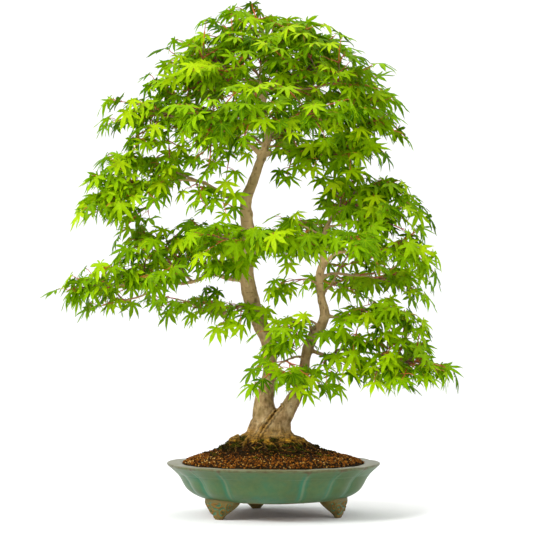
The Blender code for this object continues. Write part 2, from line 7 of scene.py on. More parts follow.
import math
import random

import bpy
import numpy as np
from bpy.props import FloatProperty, IntProperty, PointerProperty
from mathutils import Matrix, Vector, noise


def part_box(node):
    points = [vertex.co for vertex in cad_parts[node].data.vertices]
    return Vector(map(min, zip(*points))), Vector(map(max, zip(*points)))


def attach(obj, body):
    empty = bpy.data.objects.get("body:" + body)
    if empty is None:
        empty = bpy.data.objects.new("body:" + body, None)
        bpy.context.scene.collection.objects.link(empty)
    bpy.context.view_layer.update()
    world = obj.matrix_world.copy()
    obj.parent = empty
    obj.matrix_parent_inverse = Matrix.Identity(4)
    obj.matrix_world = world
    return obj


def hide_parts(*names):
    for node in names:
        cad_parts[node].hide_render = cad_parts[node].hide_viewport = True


bl_info = {
    "name": "Bonsai Maple Builder",
    "version": (1, 0, 0),
    "blender": (4, 5, 0),
    "location": "View3D > Sidebar > Bonsai",
    "description": "Builds a bonsai maple in a lobed, glazed pot round its packed solids",
    "category": "Add Mesh",
}

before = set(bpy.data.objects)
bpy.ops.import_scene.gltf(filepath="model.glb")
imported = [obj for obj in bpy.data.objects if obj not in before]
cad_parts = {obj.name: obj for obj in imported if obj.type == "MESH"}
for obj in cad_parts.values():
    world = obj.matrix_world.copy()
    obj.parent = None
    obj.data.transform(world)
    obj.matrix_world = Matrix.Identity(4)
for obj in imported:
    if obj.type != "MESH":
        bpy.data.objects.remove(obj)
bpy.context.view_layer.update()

MM = 0.001
TAU = 2 * math.pi
POT_LOW, POT_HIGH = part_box("pot")
AXIS = np.array(((POT_LOW.x + POT_HIGH.x) / 2, (POT_LOW.y + POT_HIGH.y) / 2, 0.0))
SEED = 7


# ---- pot form ----

FIRST_CREASE = math.radians(-161)
QUARTER = (  # each lobe's start and width in degrees, and its swell
    (0.0, 20.0, 0.6), (20.0, 20.0, 0.6), (40.0, 50.0, 1.0),
)
PROFILE_STEP = 1.2
OUTER_PROFILE = (  # radius, height and depth of the creases, here and in the other profiles of the pot
    (97.0, 25.0, 1.5), (98.6, 25.3, 1.5), (103.0, 26.1, 1.5), (108.0, 28.0, 2.5), (113.0, 30.4, 3.0),
    (118.0, 33.5, 3.5), (123.3, 38.3, 4.0), (127.6, 45.0, 4.0), (131.0, 51.5, 4.0), (135.5, 58.0, 3.5),
    (141.0, 63.8, 3.2), (146.0, 68.4, 2.8), (149.2, 71.2, 2.5), (150.2, 72.8, 2.5),
)
LIP_PROFILE = ((150.2, 72.8, 2.5), (149.9, 74.0, 2.5), (148.4, 74.8, 2.5), (138.0, 74.9, 2.2),
               (130.5, 74.4, 2.0), (128.4, 73.4, 2.0), (127.6, 71.5, 2.0))
INNER_PROFILE = ((127.6, 71.5, 2.0), (124.5, 58.0, 2.0), (121.0, 49.0, 2.0), (114.0, 40.0, 2.0),
                 (104.0, 32.5, 1.5), (94.0, 29.0, 1.0))
POT_FLOOR, POT_BASE, DRAIN_RADIUS = 29.0, 21.0, 15.0
ARRIS = 0.6  # how far the edges of the drain hole are cut back
FLOOR = ((80.0, POT_FLOOR, 0.5), (50.0, POT_FLOOR, 0.0), (DRAIN_RADIUS + ARRIS, POT_FLOOR, 0.0))
DRAIN_HOLE = ((DRAIN_RADIUS, POT_FLOOR - ARRIS, 0.0), (DRAIN_RADIUS, POT_BASE + ARRIS, 0.0))
UNDERSIDE = (
    (DRAIN_RADIUS + ARRIS, POT_BASE, 0.0), (50.0, POT_BASE, 0.0), (62.0, POT_BASE, 0.3), (80.0, 23.0, 1.0),
)
CREASE_GAIN = ((60.0, 1.9), (71.0, 1.2))  # height, and how many times the profile's depth a crease is pressed
LIP_GAIN = 1.2
# Heights on the outside at which one finish or shape gives way to the next.
CLAY_TOP, BEAD_FOOT, WAVY_FOOT = 25.8, 26.0, 60.0
WEAR_FOOT, GLAZE_TOP, BEAD_TOP = 65.0, 66.0, 68.0
LIP_FOOT, LIP_EDGE, LIP_BEND = 70.2, 71.0, 71.4
RIM_RADIUS, LIP_OUTSIDE = 150.2, 151.6
GLAZED_INSIDE = 6  # rows of the inside that the glaze reaches, counted from the lip
FOOT_ANGLES = tuple(math.radians(a) for a in (-141.0, -22.0, 104.8))
FOOT_PROFILE = (  # height, half width along the rim, inner radius, outer radius
    (28.0, 36.0, 77.0, 105.5), (24.0, 35.0, 78.0, 106.0), (20.0, 31.5, 79.5, 105.3),
    (15.0, 25.5, 83.5, 104.0), (10.0, 18.0, 87.5, 103.0), (5.0, 11.0, 91.0, 102.0),
    (0.8, 7.0, 92.5, 100.8), (0.0, 6.4, 93.1, 100.2),
)
FOOT_SIDES = 96
FOOT_SQUARENESS = 0.55  # the power that makes each section of a foot a rounded oblong
FOOT_TOP = 24.5
SCROLLS = (  # across, height, reach and hand of each curl on a foot
    (-23.0, 18.0, 11.0, 1), (23.0, 18.0, 11.0, -1), (-7.0, 12.0, 9.5, 1), (9.0, 10.5, 9.0, -1),
    (2.0, 21.0, 8.0, 1),
)
SCROLL_PITCH = 5.4

# ---- soil and root flare ----

FLARE_PROFILE = (  # height, centre x, half width in x and in y, depth of the furrows between the roots
    (80.0, -10.0, 50.0, 44.0, 4.0), (90.0, -10.0, 58.0, 50.0, 7.0), (99.0, -10.0, 55.0, 47.0, 7.0),
    (105.0, -10.0, 50.0, 42.0, 6.0), (111.0, -9.0, 41.0, 34.0, 5.0), (119.0, -7.0, 32.0, 26.0, 4.0),
    (134.0, -4.0, 28.0, 20.0, 2.5), (142.0, -2.0, 20.0, 14.0, 1.5), (147.0, 0.0, 11.0, 8.0, 0.5),
    (150.0, 1.0, 4.0, 4.0, 0.0),
)
FLARE_ROOTS, FLARE_TURN = 7, 0.8
SEAM = (  # the line where the two trunks have grown together, down their front
    (10, -8, 154), (6, -14, 150), (1, -17, 144), (-5, -19.5, 136), (-11, -22.5, 128), (-17, -27, 120),
    (-22, -32, 112),
)
FRONT = -6  # the seam marks only the wood that is nearer the front than this
SOIL_LINE = 3  # the row of FLARE_PROFILE at the soil's surface
MOUND = (  # share of the way from the root flare to the pot's wall, height
    (0.0, 104.5), (0.1, 101.0), (0.2, 96.8), (0.32, 92.6), (0.48, 89.0),
    (0.66, 85.4), (0.84, 81.2), (0.95, 77.6), (1.0, 74.6),
)
MOUND_LUMPS = (11.0, 2.2)  # how far apart and how high the mound's lumps are beside the root flare
SOIL_REACH, SOIL_CREASE = 127.4, 2.4
SOIL_WALL = ((126.5, 70.5), (122.5, 52.0), (114.0, 40.0), (112.0, 38.6))  # radius, height
SOIL_HEART = 84.0  # where the soil under the root flare ends
SECTORS, MOSS_START = 32, math.radians(-75)
MOSS_SECTORS = {  # the sectors round the root flare between which each piece of moss grows
    "moss_front": (21, 27), "moss_right": (29, 36), "moss_left": (13, 18), "moss_back": (6, 10),
}
CUSHIONS_PER_RADIAN = 60
CUSHION_HEIGHT, CUSHION_SINK = 0.42, 0.6

# ---- wood: x, y, z and radius up each trunk, then the branches with the radius at the fork ----

MAIN_TRUNK = (
    (-12, 0, 132, 18.0), (-13, 0, 151, 15.5), (-12, 1, 167, 13.0), (-7, 2, 187, 10.7), (-5, 3, 210, 9.7),
    (-5, 4, 232, 11.2), (-10, 6, 249, 9.8), (-18, 8, 266, 11.0), (-25, 9, 286, 10.3), (-31, 10, 303, 11.2),
    (-35, 10, 320, 11.2), (-37, 9, 343, 9.0), (-35, 8, 363, 9.0), (-33, 7, 388, 9.6), (-37, 6, 411, 9.0),
    (-39, 6, 431, 8.5), (-37, 7, 450, 8.0), (-30, 9, 468, 7.2), (-23, 10, 487, 6.6), (-16, 10, 507, 6.4),
    (-9, 8, 526, 4.4), (-5, 6, 542, 4.0), (-9, 4, 558, 3.8), (-13, 2, 577, 3.4), (-13, 0, 597, 3.1),
    (-19, -3, 613, 2.2), (-18, -7, 636, 1.7), (-14, -10, 653, 1.2),
)
SECOND_TRUNK = (
    (8, -2, 128, 14.0), (18, -4, 145, 12.5), (29, -7, 164, 10.5), (37, -9, 179, 8.6), (42, -11, 199, 7.8),
    (45, -13, 219, 7.0), (49, -14, 237, 8.0), (57, -16, 254, 7.8), (67, -17, 266, 7.4), (72, -18, 282, 7.0),
    (68, -18, 302, 6.0), (65, -17, 320, 5.1), (65, -16, 338, 5.8), (70, -14, 356, 5.4), (69, -12, 375, 4.4),
    (71, -10, 393, 4.0), (78, -8, 411, 3.2), (91, -6, 428, 2.6), (107, -4, 443, 1.6), (114, -3, 448, 1.2),
)
BRANCHES = {
    "left_mid": (3.6, (-39, 6, 449), (-63, 2, 449), (-84, -2, 460), (-101, -6, 469), (-130, -12, 472),
                 (-162, -20, 466), (-188, -28, 457)),
    "left_mid_upper": (1.9, (-106, -7, 470), (-138, 4, 484), (-170, 14, 493)),
    "left_mid_lower": (1.9, (-143, -15, 470), (-163, -4, 447), (-187, 8, 429)),
    "left_low": (3.6, (-39, 9, 333), (-61, 6, 333), (-90, 2, 340), (-106, -2, 331), (-129, -8, 326),
                 (-162, -16, 328), (-203, -26, 325), (-227, -31, 321)),
    "left_low_upper": (2.0, (-114, -4, 329), (-141, 10, 351), (-164, 24, 377)),
    "left_low_rear": (1.9, (-155, -15, 328), (-186, 6, 309), (-224, 24, 300)),
    "left_rear": (3.0, (-33, 10, 295), (-52, 24, 293), (-75, 44, 283), (-99, 62, 288), (-121, 80, 299),
                  (-142, 94, 305)),
    "right_mid": (2.9, (-13, 10, 510), (9, 4, 512), (32, 0, 514), (54, -6, 513), (80, -12, 524),
                  (98, -17, 526)),
    "right_mid_rear": (1.8, (44, -5, 514), (62, 4, 509), (84, 14, 507)),
    "right_upper": (2.6, (-5, 6, 541), (8, 10, 553), (24, 16, 561), (47, 24, 571), (81, 36, 587),
                    (94, 41, 590)),
    "right_upper_front": (1.8, (28, 17, 563), (74, 4, 558), (104, -10, 559)),
    "left_crown": (3.0, (-16, 10, 507), (-42, 4, 529), (-84, -4, 545), (-112, -10, 555), (-150, -19, 560)),
    "left_crown_rear": (1.8, (-78, -4, 543), (-104, 10, 566), (-130, 24, 579)),
    "left_top": (2.2, (-13, 1, 589), (-33, -4, 596), (-62, -12, 597), (-90, -19, 603)),
    "left_top_rear": (1.6, (-42, -7, 597), (-58, 16, 622), (-72, 34, 640)),
    "right_top": (1.9, (-18, -2, 606), (-5, 4, 607), (15, 14, 613), (44, 26, 628), (54, 30, 632)),
    "right_top_front": (1.5, (0, 7, 608), (34, -20, 599), (67, -46, 600), (84, -55, 602)),
    "apex_left": (1.5, (-20, -4, 618), (-34, -2, 642), (-48, 6, 656)),
    "apex_right": (1.4, (-19, -5, 624), (-4, -16, 650), (12, -24, 662)),
    "back_mid": (3.0, (-19, 10, 497), (-13, 50, 519), (-2, 92, 540), (12, 120, 553)),
    "back_mid_left": (1.9, (-10, 62, 525), (-40, 96, 550), (-76, 124, 567), (-96, 140, 571)),
    "front_low": (2.8, (-35, 7, 391), (-30, -30, 389), (-21, -66, 391), (-14, -92, 386)),
    "front_low_left": (1.7, (-28, -40, 389), (-49, -72, 388), (-66, -88, 384)),
    "front_low_right": (1.7, (-26, -52, 391), (3, -80, 390), (25, -95, 386)),
    "back_low": (3.0, (-35, 8, 365), (-28, 48, 381), (-16, 92, 394), (-16, 126, 398)),
    "back_low_left": (1.9, (-26, 58, 384), (-60, 100, 398), (-88, 120, 403)),
    "back_low_right": (1.9, (-20, 72, 389), (16, 108, 404), (42, 126, 412)),
    "front_crown": (2.6, (-8, 8, 530), (-13, -34, 543), (-16, -74, 552), (-22, -104, 560)),
    "front_crown_left": (1.7, (-13, -38, 545), (-49, -82, 546), (-75, -107, 549)),
    "front_crown_right": (1.7, (-15, -52, 549), (20, -92, 551), (46, -114, 553)),
    "back_crown": (2.2, (-13, 2, 580), (-8, 48, 603), (4, 90, 619), (13, 117, 627)),
    "back_crown_left": (1.5, (-4, 54, 607), (-37, 92, 631), (-62, 113, 640)),
    "second_right_upper": (2.6, (69, -14, 349), (81, -20, 363), (91, -24, 369), (110, -30, 369),
                           (136, -38, 372), (160, -44, 370)),
    "second_right_rear": (2.4, (65, -16, 332), (83, -6, 340), (109, 8, 338), (132, 20, 337), (158, 32, 332)),
    "second_right_mid": (2.4, (71, -18, 281), (90, -22, 279), (111, -30, 288), (131, -40, 289)),
    "second_low": (2.4, (49, -14, 233), (70, -14, 226), (82, -16, 225), (93, -18, 233), (128, -26, 230),
                   (169, -34, 219), (190, -37, 215)),
    "second_low_rear": (1.7, (87, -17, 229), (111, 10, 215), (141, 34, 203), (158, 44, 199)),
    "second_inner_stub": (2.0, (66, -17, 264), (52, -19, 273), (38, -36, 271)),
    "second_front_low": (1.9, (45, -13, 221), (31, -30, 223), (14, -54, 217), (2, -70, 209)),
    "second_inner_low": (1.7, (65, -17, 323), (50, -30, 331), (38, -40, 331)),
    "second_inner_upper": (1.7, (71, -11, 390), (54, -20, 401), (40, -26, 407)),
    "second_top_front": (1.7, (75, -9, 406), (99, -24, 408), (120, -34, 410)),
    "second_back": (2.2, (68, -18, 306), (78, 30, 320), (97, 76, 330), (112, 106, 333)),
    "second_back_upper": (1.5, (82, 38, 323), (103, 70, 359), (117, 88, 378)),
    "second_front": (2.0, (70, -13, 370), (76, -48, 380), (88, -84, 385), (99, -108, 387)),
    "second_top_rear": (1.5, (85, -7, 420), (98, 34, 432), (115, 70, 442)),
}
TIP_RADIUS = 1.0
CUT_STUB = ((58, -18, 250, 5.0), (53, -20, 262, 3.4), (50, -22, 272, 1.2))
KNOTS = (  # where old branches were cut: place, size and how far the scar stands out
    ((-24, -1, 303), 5.5, 1.6), ((-30, 0, 425), 4.5, 1.2), ((-13, 2, 522), 4.0, 1.4),
    ((-14, -7, 236), 5.0, 0.9), ((58, -23, 262), 5.0, 1.2), ((-2, -10, 190), 5.0, 0.6),
    ((63, -10, 300), 4.0, 1.0), ((-30, 18, 380), 5.0, 1.2), ((-12, 10, 265), 5.0, 1.0),
)
FLARE_SIDES = 112
ROOT_START = -0.12  # where surface roots begin, as a share of the way from the root flare to the pot's wall
THICK_BRANCH = 2.1  # branches thicker than this at the fork swell where they leave the trunk
TOPS = {"apex": MAIN_TRUNK[-4:], "second_top": SECOND_TRUNK[-5:]}
FOLIAGE = {  # piece: for each branch it clothes, the share left bare and the tips of its side shoots
    "foliage_apex": {
        "apex": (0.3, (-44, -26, 692), (-24, 8, 704), (-12, -48, 660)),
        "apex_left": (0.2, (-74, -8, 672), (-58, 22, 688), (-42, -34, 664)),
        "apex_right": (0.2, (36, -32, 678), (20, 6, 690), (64, -14, 666), (50, 26, 674)),
    },
    "foliage_crown_left": {
        "left_crown": (0.4, (-198, -26, 578), (-206, -14, 560), (-178, -38, 534), (-146, -32, 516),
                       (-62, -24, 500), (-88, -30, 512)),
        "left_crown_rear": (0.3, (-156, 30, 606), (-172, 40, 580), (-110, 46, 600)),
    },
    "foliage_crown_left_top": {
        "left_top": (0.4, (-124, -26, 636), (-144, -10, 612), (-104, -46, 618), (-98, -30, 660),
                     (-50, -62, 628)),
        "left_top_rear": (0.3, (-104, 42, 664), (-126, 28, 648), (-62, 50, 672)),
    },
    "foliage_crown_right": {
        "right_mid": (0.4, (126, -24, 546), (130, -34, 522), (104, -40, 512), (66, -32, 508), (24, -26, 494)),
        "right_mid_rear": (0.4, (112, 24, 512), (96, 42, 528)),
        "right_upper": (0.4, (140, 48, 598), (150, 30, 574), (110, 66, 616), (60, 52, 600)),
        "right_upper_front": (0.35, (136, -18, 578), (156, -2, 550), (118, -46, 566)),
    },
    "foliage_crown_right_top": {
        "right_top": (0.3, (82, 36, 648), (98, 16, 630), (66, 54, 668), (76, 0, 666)),
        "right_top_front": (0.25, (108, -62, 614), (122, -38, 604), (90, -74, 632), (50, -58, 640),
                            (14, -62, 636)),
    },
    "foliage_crown_front": {
        "front_crown": (0.4, (-24, -128, 576), (0, -124, 548), (-34, -118, 540)),
        "front_crown_left": (0.35, (-98, -118, 560), (-84, -126, 538), (-62, -128, 570)),
        "front_crown_right": (0.35, (70, -124, 564), (58, -130, 540), (28, -128, 576)),
    },
    "foliage_crown_back": {
        "back_crown": (0.35, (42, 140, 612), (52, 116, 646), (-8, 104, 668), (34, 84, 680)),
        "back_crown_left": (0.3, (-92, 130, 640), (-84, 100, 664)),
        "back_mid": (0.45, (30, 148, 544), (62, 136, 572)),
        "back_mid_left": (0.4, (-120, 148, 580), (-106, 156, 552)),
    },
    "foliage_left_mid": {
        "left_mid": (0.62, (-224, -36, 470), (-236, -24, 452), (-240, -38, 442), (-206, -48, 478),
                     (-210, -50, 446), (-176, -46, 454), (-104, -30, 454), (-72, -26, 444)),
        "left_mid_upper": (0.4, (-200, 16, 504), (-222, 4, 490), (-166, 32, 508)),
        "left_mid_lower": (0.75, (-216, 6, 430)),
    },
    "foliage_left_low": {
        "left_low": (0.6, (-250, -36, 328), (-268, -30, 320), (-232, -52, 338), (-206, -48, 352),
                     (-176, -42, 364), (-150, -52, 342), (-184, -60, 334), (-84, -34, 364), (-60, -36, 356)),
        "left_low_upper": (0.3, (-190, 26, 380), (-172, -6, 386), (-140, 0, 392), (-118, -22, 382),
                           (-104, 14, 390)),
        "left_low_rear": (0.8, (-222, 32, 330)),
        "left_rear": (0.5, (-62, 6, 284), (-44, -4, 290), (-88, 40, 300)),
    },
    "foliage_front_low": {
        "front_low": (0.5, (-8, -110, 390)),
        "front_low_left": (0.4, (-84, -102, 390)),
        "front_low_right": (0.5, (30, -104, 388)),
    },
    "foliage_back_low": {
        "back_low": (0.45, (10, 142, 388), (-40, 138, 384)),
        "back_low_left": (0.4, (-110, 124, 400), (-84, 138, 388)),
        "back_low_right": (0.4, (64, 132, 408), (40, 142, 392)),
    },
    "foliage_second_top": {
        "second_top": (0.4, (144, -8, 464), (170, 2, 456), (112, -18, 466), (84, -20, 458), (186, -8, 440)),
        "second_top_front": (0.72, (152, -44, 424), (168, -44, 406)),
        "second_top_rear": (0.45, (142, 76, 444), (130, 92, 430), (166, 50, 430)),
        "second_inner_upper": (0.7, ),
    },
    "foliage_second_right": {
        "second_right_upper": (0.6, (182, -50, 374), (196, -44, 360), (184, -30, 388)),
        "second_right_rear": (0.6, (186, 38, 336), (186, 24, 324), (160, 50, 350)),
        "second_right_mid": (0.55, (164, -48, 290), (178, -34, 276), (118, -50, 268)),
    },
    "foliage_second_low": {
        "second_low": (0.65, (212, -44, 212), (218, -34, 214), (200, -40, 240), (180, -32, 252),
                       (158, -44, 244), (132, -40, 252), (184, -58, 208), (150, -48, 214), (100, -32, 214),
                       (78, -30, 212), (84, -40, 250)),
        "second_low_rear": (0.6, (180, 50, 214), (194, 36, 226)),
    },
    "foliage_second_front": {
        "second_front": (0.45, (118, -118, 374)),
        "second_front_low": (0.6, (18, -78, 200), (32, -60, 208), (26, -46, 236)),
        "second_inner_low": (0.8, ),
        "second_inner_stub": (0.9, (16, -44, 268), (10, -34, 250)),
    },
    "foliage_second_back": {
        "second_back": (0.45, (138, 108, 342)),
        "second_back_upper": (0.4, (130, 100, 388)),
    },
}
LEAF_LOBES = (  # angle from the middle lobe, length and half width as shares of the leaf's length
    (-124, 0.36, 0.05), (-82, 0.80, 0.098), (-41, 0.98, 0.118), (0, 1.03, 0.125),
    (41, 0.98, 0.118), (82, 0.80, 0.098), (124, 0.36, 0.05),
)
SINUS = 0.28  # how near the base the cuts between lobes reach
HEEL_SINUS, HEEL_TURN = 0.10, 22  # how far out the leaf's heel reaches, and its angle past the last lobe
LEAF_KEPT = 0.72  # the share of the leaves on a twig's sides that grow
LEAF_FALL, LEAF_FALL_DEPTH = 480, 160  # leaves above this height droop less, and least this much higher


# ---- settings ----


class BonsaiPotSettings(bpy.types.PropertyGroup):
    around: IntProperty(name="Steps Around", default=360, min=64,
                        description="Points round the pot's wall, besides those at the creases")
    rib: FloatProperty(name="Rib Height", default=1.0, min=0.0, max=2.0,
                       description="How far the bead in each crease stands up, in millimetres")
    relief: FloatProperty(name="Foot Relief", description="Height of the scrolls on the feet, in millimetres",
                          default=1.5, min=0.0, max=2.0)


class BonsaiSoilSettings(bpy.types.PropertyGroup):
    grains: IntProperty(name="Grains", description="Loose grains on the mound", default=8000, min=0)
    grain_size: FloatProperty(name="Grain Size", description="Largest grain across, in millimetres",
                              default=4.4, min=1.0, max=8.0)
    tufts: IntProperty(name="Moss Tufts", description="Stems on each piece of moss", default=6000, min=0)


class BonsaiWoodSettings(bpy.types.PropertyGroup):
    voxel: FloatProperty(name="Bark Detail", description="Size of the finest bark detail", default=0.00112,
                         min=0.0006, unit="LENGTH", precision=4)
    bark_depth: FloatProperty(name="Bark Depth", description="Height of the bark's ridges, in millimetres",
                              default=0.5, min=0.0, max=2.0)


class BonsaiLeafSettings(bpy.types.PropertyGroup):
    leaf: FloatProperty(name="Leaf Length", description="Petiole end to middle tip, in millimetres",
                        default=28.5, min=10.0, max=60.0)
    twig_gap: FloatProperty(name="Twig Spacing", description="Distance between side twigs, in millimetres",
                            default=22.0, min=6.0)


class BonsaiStageSettings(bpy.types.PropertyGroup):
    key: FloatProperty(name="Key Light", description="Power of the main soft light in watts", default=84.0)
    fill: FloatProperty(name="Fill Light", description="Power of the fill light in watts", default=14.0)
    sky: FloatProperty(name="Surround", description="Strength of the even white surround", default=1.0)


# ---- small tools ----


def linear(text):
    """An sRGB hex value as linear red, green, blue and a full alpha."""
    channels = [int(text[k:k + 2], 16) / 255 for k in (1, 3, 5)]
    return tuple(c / 12.92 if c <= 0.04045 else ((c + 0.055) / 1.055) ** 2.4 for c in channels) + (1.0,)


def ramp(pairs, x):
    return np.interp(x, [p[0] for p in pairs], [p[1] for p in pairs])


def unit(v):
    return v / max(np.linalg.norm(v), 1e-9)


def clamp(value):
    return np.clip(value, 0, 1)


def bell(away, width):
    """1 at no distance away, about a third at the width, and almost nothing at twice the width."""
    return np.exp(-(away / width) ** 2)


def ring_points(angles, height, reach, reach_y=None, centre=0.0):
    """Points round the axis at the plan angles, with their reach in x and, if it isn't the same, in y."""
    x = centre + reach * np.cos(angles)
    y = (reach if reach_y is None else reach_y) * np.sin(angles)
    return np.stack((x, y, np.broadcast_to(height, np.shape(x))), -1)


def through(points, step):
    """Points about one step apart on the smooth curve through the given ones."""
    p = np.array(points, float)
    p = np.vstack((2 * p[0] - p[1], p, 2 * p[-1] - p[-2]))
    out = []
    for k in range(1, len(p) - 2):
        a, b, c, d = p[k - 1:k + 3]
        count = max(1, round(np.linalg.norm((c - b)[:3]) / step))
        for t in np.arange(count) / count:
            out.append(0.5 * (2 * b + (c - a) * t + (2 * a - 5 * b + 4 * c - d) * t * t
                              + (3 * b - a - 3 * c + d) * t ** 3))
    out.append(p[-2])
    return np.array(out)


def swept(path, radii, sides):
    """Points and triangles of a tube along the path, closed by a flat face at each end."""
    path = np.asarray(path, float)
    along = np.gradient(path, axis=0)
    side = np.array((0.0, 0.0, 1.0)) if abs(unit(along[0])[2]) < 0.9 else np.array((0.0, 1.0, 0.0))
    turns = TAU * np.arange(sides) / sides
    points = []
    for centre, direction, radius in zip(path, along, radii):
        direction = unit(direction)
        side = unit(side - direction * side.dot(direction))
        across = np.cross(direction, side)
        points.append(centre + radius * (np.outer(np.cos(turns), side) + np.outer(np.sin(turns), across)))
    points = np.vstack(points + [path[:1], path[-1:]])
    return points, closed_faces(len(path), sides)


def wrapped_faces(rows, columns):
    """Triangles between rings of points, each joined round from its last point to its first."""
    r, c = np.meshgrid(np.arange(rows - 1), np.arange(columns), indexing="ij")
    a, b = r * columns + c, r * columns + (c + 1) % columns
    quads = np.stack((a, b, b + columns, a + columns), -1).reshape(-1, 4)
    return np.vstack((quads[:, [0, 1, 2]], quads[:, [0, 2, 3]]))


def closed_faces(rows, sides):
    """Triangles between rings of points and over both ends, whose middle points follow the rings."""
    k = np.arange(sides)
    last, first = (rows - 1) * sides, rows * sides
    start = np.stack((np.full(sides, first), (k + 1) % sides, k), -1)
    end = np.stack((np.full(sides, first + 1), last + k, last + (k + 1) % sides), -1)
    return np.vstack((wrapped_faces(rows, sides), start, end))


class Skin:
    """Points, triangles, material numbers and point values that become one mesh object."""

    def __init__(self, *values):
        self.points, self.faces, self.slots = [], [], []
        self.values = {name: [] for name in values}
        self.count = 0

    def add(self, points, faces, slot=0, **values):
        self.points.append(points)
        self.faces.append(np.asarray(faces) + self.count)
        self.slots.append(np.full(len(faces), slot))
        for name, kept in self.values.items():
            kept.append(np.broadcast_to(np.asarray(values.get(name, 0.0), np.float32), (len(points),)))
        self.count += len(points)

    def add_tube(self, rows, sides, **values):
        """Add a closed tube along rows of x, y, z and radius."""
        self.add(*swept(rows[:, :3], rows[:, 3], sides), **values)

    def build(self, name, materials, smooth=True):
        mesh = bpy.data.meshes.new(name)
        points = np.vstack(self.points) * MM + AXIS
        faces = np.vstack(self.faces)
        mesh.from_pydata(points, [], faces)
        mesh.polygons.foreach_set("material_index", np.concatenate(self.slots).astype(np.int32))
        mesh.polygons.foreach_set("use_smooth", np.full(len(faces), smooth))
        for value, kept in self.values.items():
            mesh.attributes.new(value, "FLOAT", "POINT").data.foreach_set("value", np.concatenate(kept))
        for material in materials:
            mesh.materials.append(material)
        mesh.update()
        piece = bpy.data.objects.new(name, mesh)
        bpy.context.scene.collection.objects.link(piece)
        return piece


def place(piece, slot, *nodes):
    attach(piece, "root")
    if nodes:
        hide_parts(*nodes)


def add_node(tree, kind, links=None, out=None, **settings):
    """Add a shader node with its settings and links, and give its first output or the one that is named."""
    made = tree.nodes.new(kind)
    for name, value in settings.items():
        setattr(made, name, value)
    for socket, value in (links or {}).items():
        if isinstance(value, bpy.types.NodeSocket):
            tree.links.new(value, made.inputs[socket])
        else:
            made.inputs[socket].default_value = value
    return made.outputs[out] if out else next(socket for socket in made.outputs if socket.enabled)


def new_material(name, **values):
    """A material with a Principled shader whose even values are set on its own sockets."""
    made = bpy.data.materials.new(name)
    made.use_nodes = True
    shader = made.node_tree.nodes["Principled BSDF"]
    for socket, value in values.items():
        shader.inputs[socket.replace("_", " ")].default_value = value
    return made, made.node_tree, shader


def stops(colour, *pairs):
    """Set the stops of the ramp that gives the colour, from position and hex colour pairs."""
    elements = colour.node.color_ramp.elements
    while len(elements) > 1:
        elements.remove(elements[-1])
    elements[0].position, elements[0].color = pairs[0][0], linear(pairs[0][1])
    for position, over in pairs[1:]:
        elements.new(position).color = linear(over)
    return colour


def spaced(millimetres):
    """The scale of a pattern that repeats about every so many millimetres, as whole repeats to the metre."""
    return float(round(1 / (millimetres * MM)))


# ---- materials ----


def stoneware_glaze():
    """Celadon glaze on stoneware: blue-green where it pools beside the ribs, drawn stronger on one side of
    each crease as painted shade, and olive on the open lobes.

    A pale line along each rib is partly thinner glaze and partly a painted highlight. It is thin and brown
    over every edge, and glossy with a faint orange peel.
    """
    made, tree, shader = new_material("celadon_glazed_stoneware", IOR=1.5, Specular_IOR_Level=0.24)
    place_in = add_node(tree, "ShaderNodeTexCoord", out="Object")
    rib, pool, thin, clay, lip = (add_node(tree, "ShaderNodeAttribute", attribute_name=name, out="Fac")
                                  for name in ("rib", "pool", "thin", "clay", "lip"))
    cloud = add_node(tree, "ShaderNodeTexNoise", {"Vector": place_in, "Scale": spaced(42), "Detail": 4.0})
    colour = stops(add_node(tree, "ShaderNodeValToRGB", {"Fac": cloud}),
                   (0.3, "#315f41"), (0.45, "#415a33"), (0.58, "#3c603c"), (0.7, "#31664b"))
    mottle = add_node(tree, "ShaderNodeTexNoise", {"Vector": place_in, "Scale": spaced(6.25), "Detail": 5.0})
    mottled = add_node(tree, "ShaderNodeMapRange",
                       {"Value": mottle, "From Min": 0.35, "From Max": 0.65, "To Max": 0.35})
    # Blue-green pooled glaze beside the creases, with painted shade on one side of each and in the hollows of
    # the feet.
    pooled_and_shaded = add_node(tree, "ShaderNodeMath", {0: pool, 1: 0.8}, operation="MULTIPLY")
    rubbed = add_node(tree, "ShaderNodeMath", {0: thin, 1: mottle}, operation="MULTIPLY")
    worn = add_node(tree, "ShaderNodeMapRange", {"Value": rubbed, "From Min": 0.24, "From Max": 0.62})
    # Iron specks, drawn about a millimetre across so that they show.
    speck = add_node(tree, "ShaderNodeTexVoronoi", {"Vector": place_in, "Scale": spaced(3.85)})
    specks = add_node(tree, "ShaderNodeMapRange",
                      {"Value": speck, "From Min": 0.1, "From Max": 0.2, "To Min": 0.45, "To Max": 0.0})
    # The rib share is a pale line on each rib's bead, partly thin glaze and partly a painted highlight.
    for share, over in ((mottled, "#5d6837"), (pooled_and_shaded, "#1c6a50"), (lip, "#706f52"), (worn, "#46381a"),
                        (rib, "#98987a"), (clay, "#75561f"), (specks, "#45421f")):
        colour = add_node(tree, "ShaderNodeMix", {"Factor": share, "A": colour, "B": linear(over)},
                          data_type="RGBA")
    rough = add_node(tree, "ShaderNodeMapRange", {"Value": clay, "To Min": 0.38, "To Max": 0.8})
    peel = add_node(tree, "ShaderNodeBump", {"Height": mottle, "Strength": 0.12, "Distance": 0.4 * MM})
    tree.links.new(colour, shader.inputs["Base Color"])
    tree.links.new(rough, shader.inputs["Roughness"])
    tree.links.new(peel, shader.inputs["Normal"])
    return made


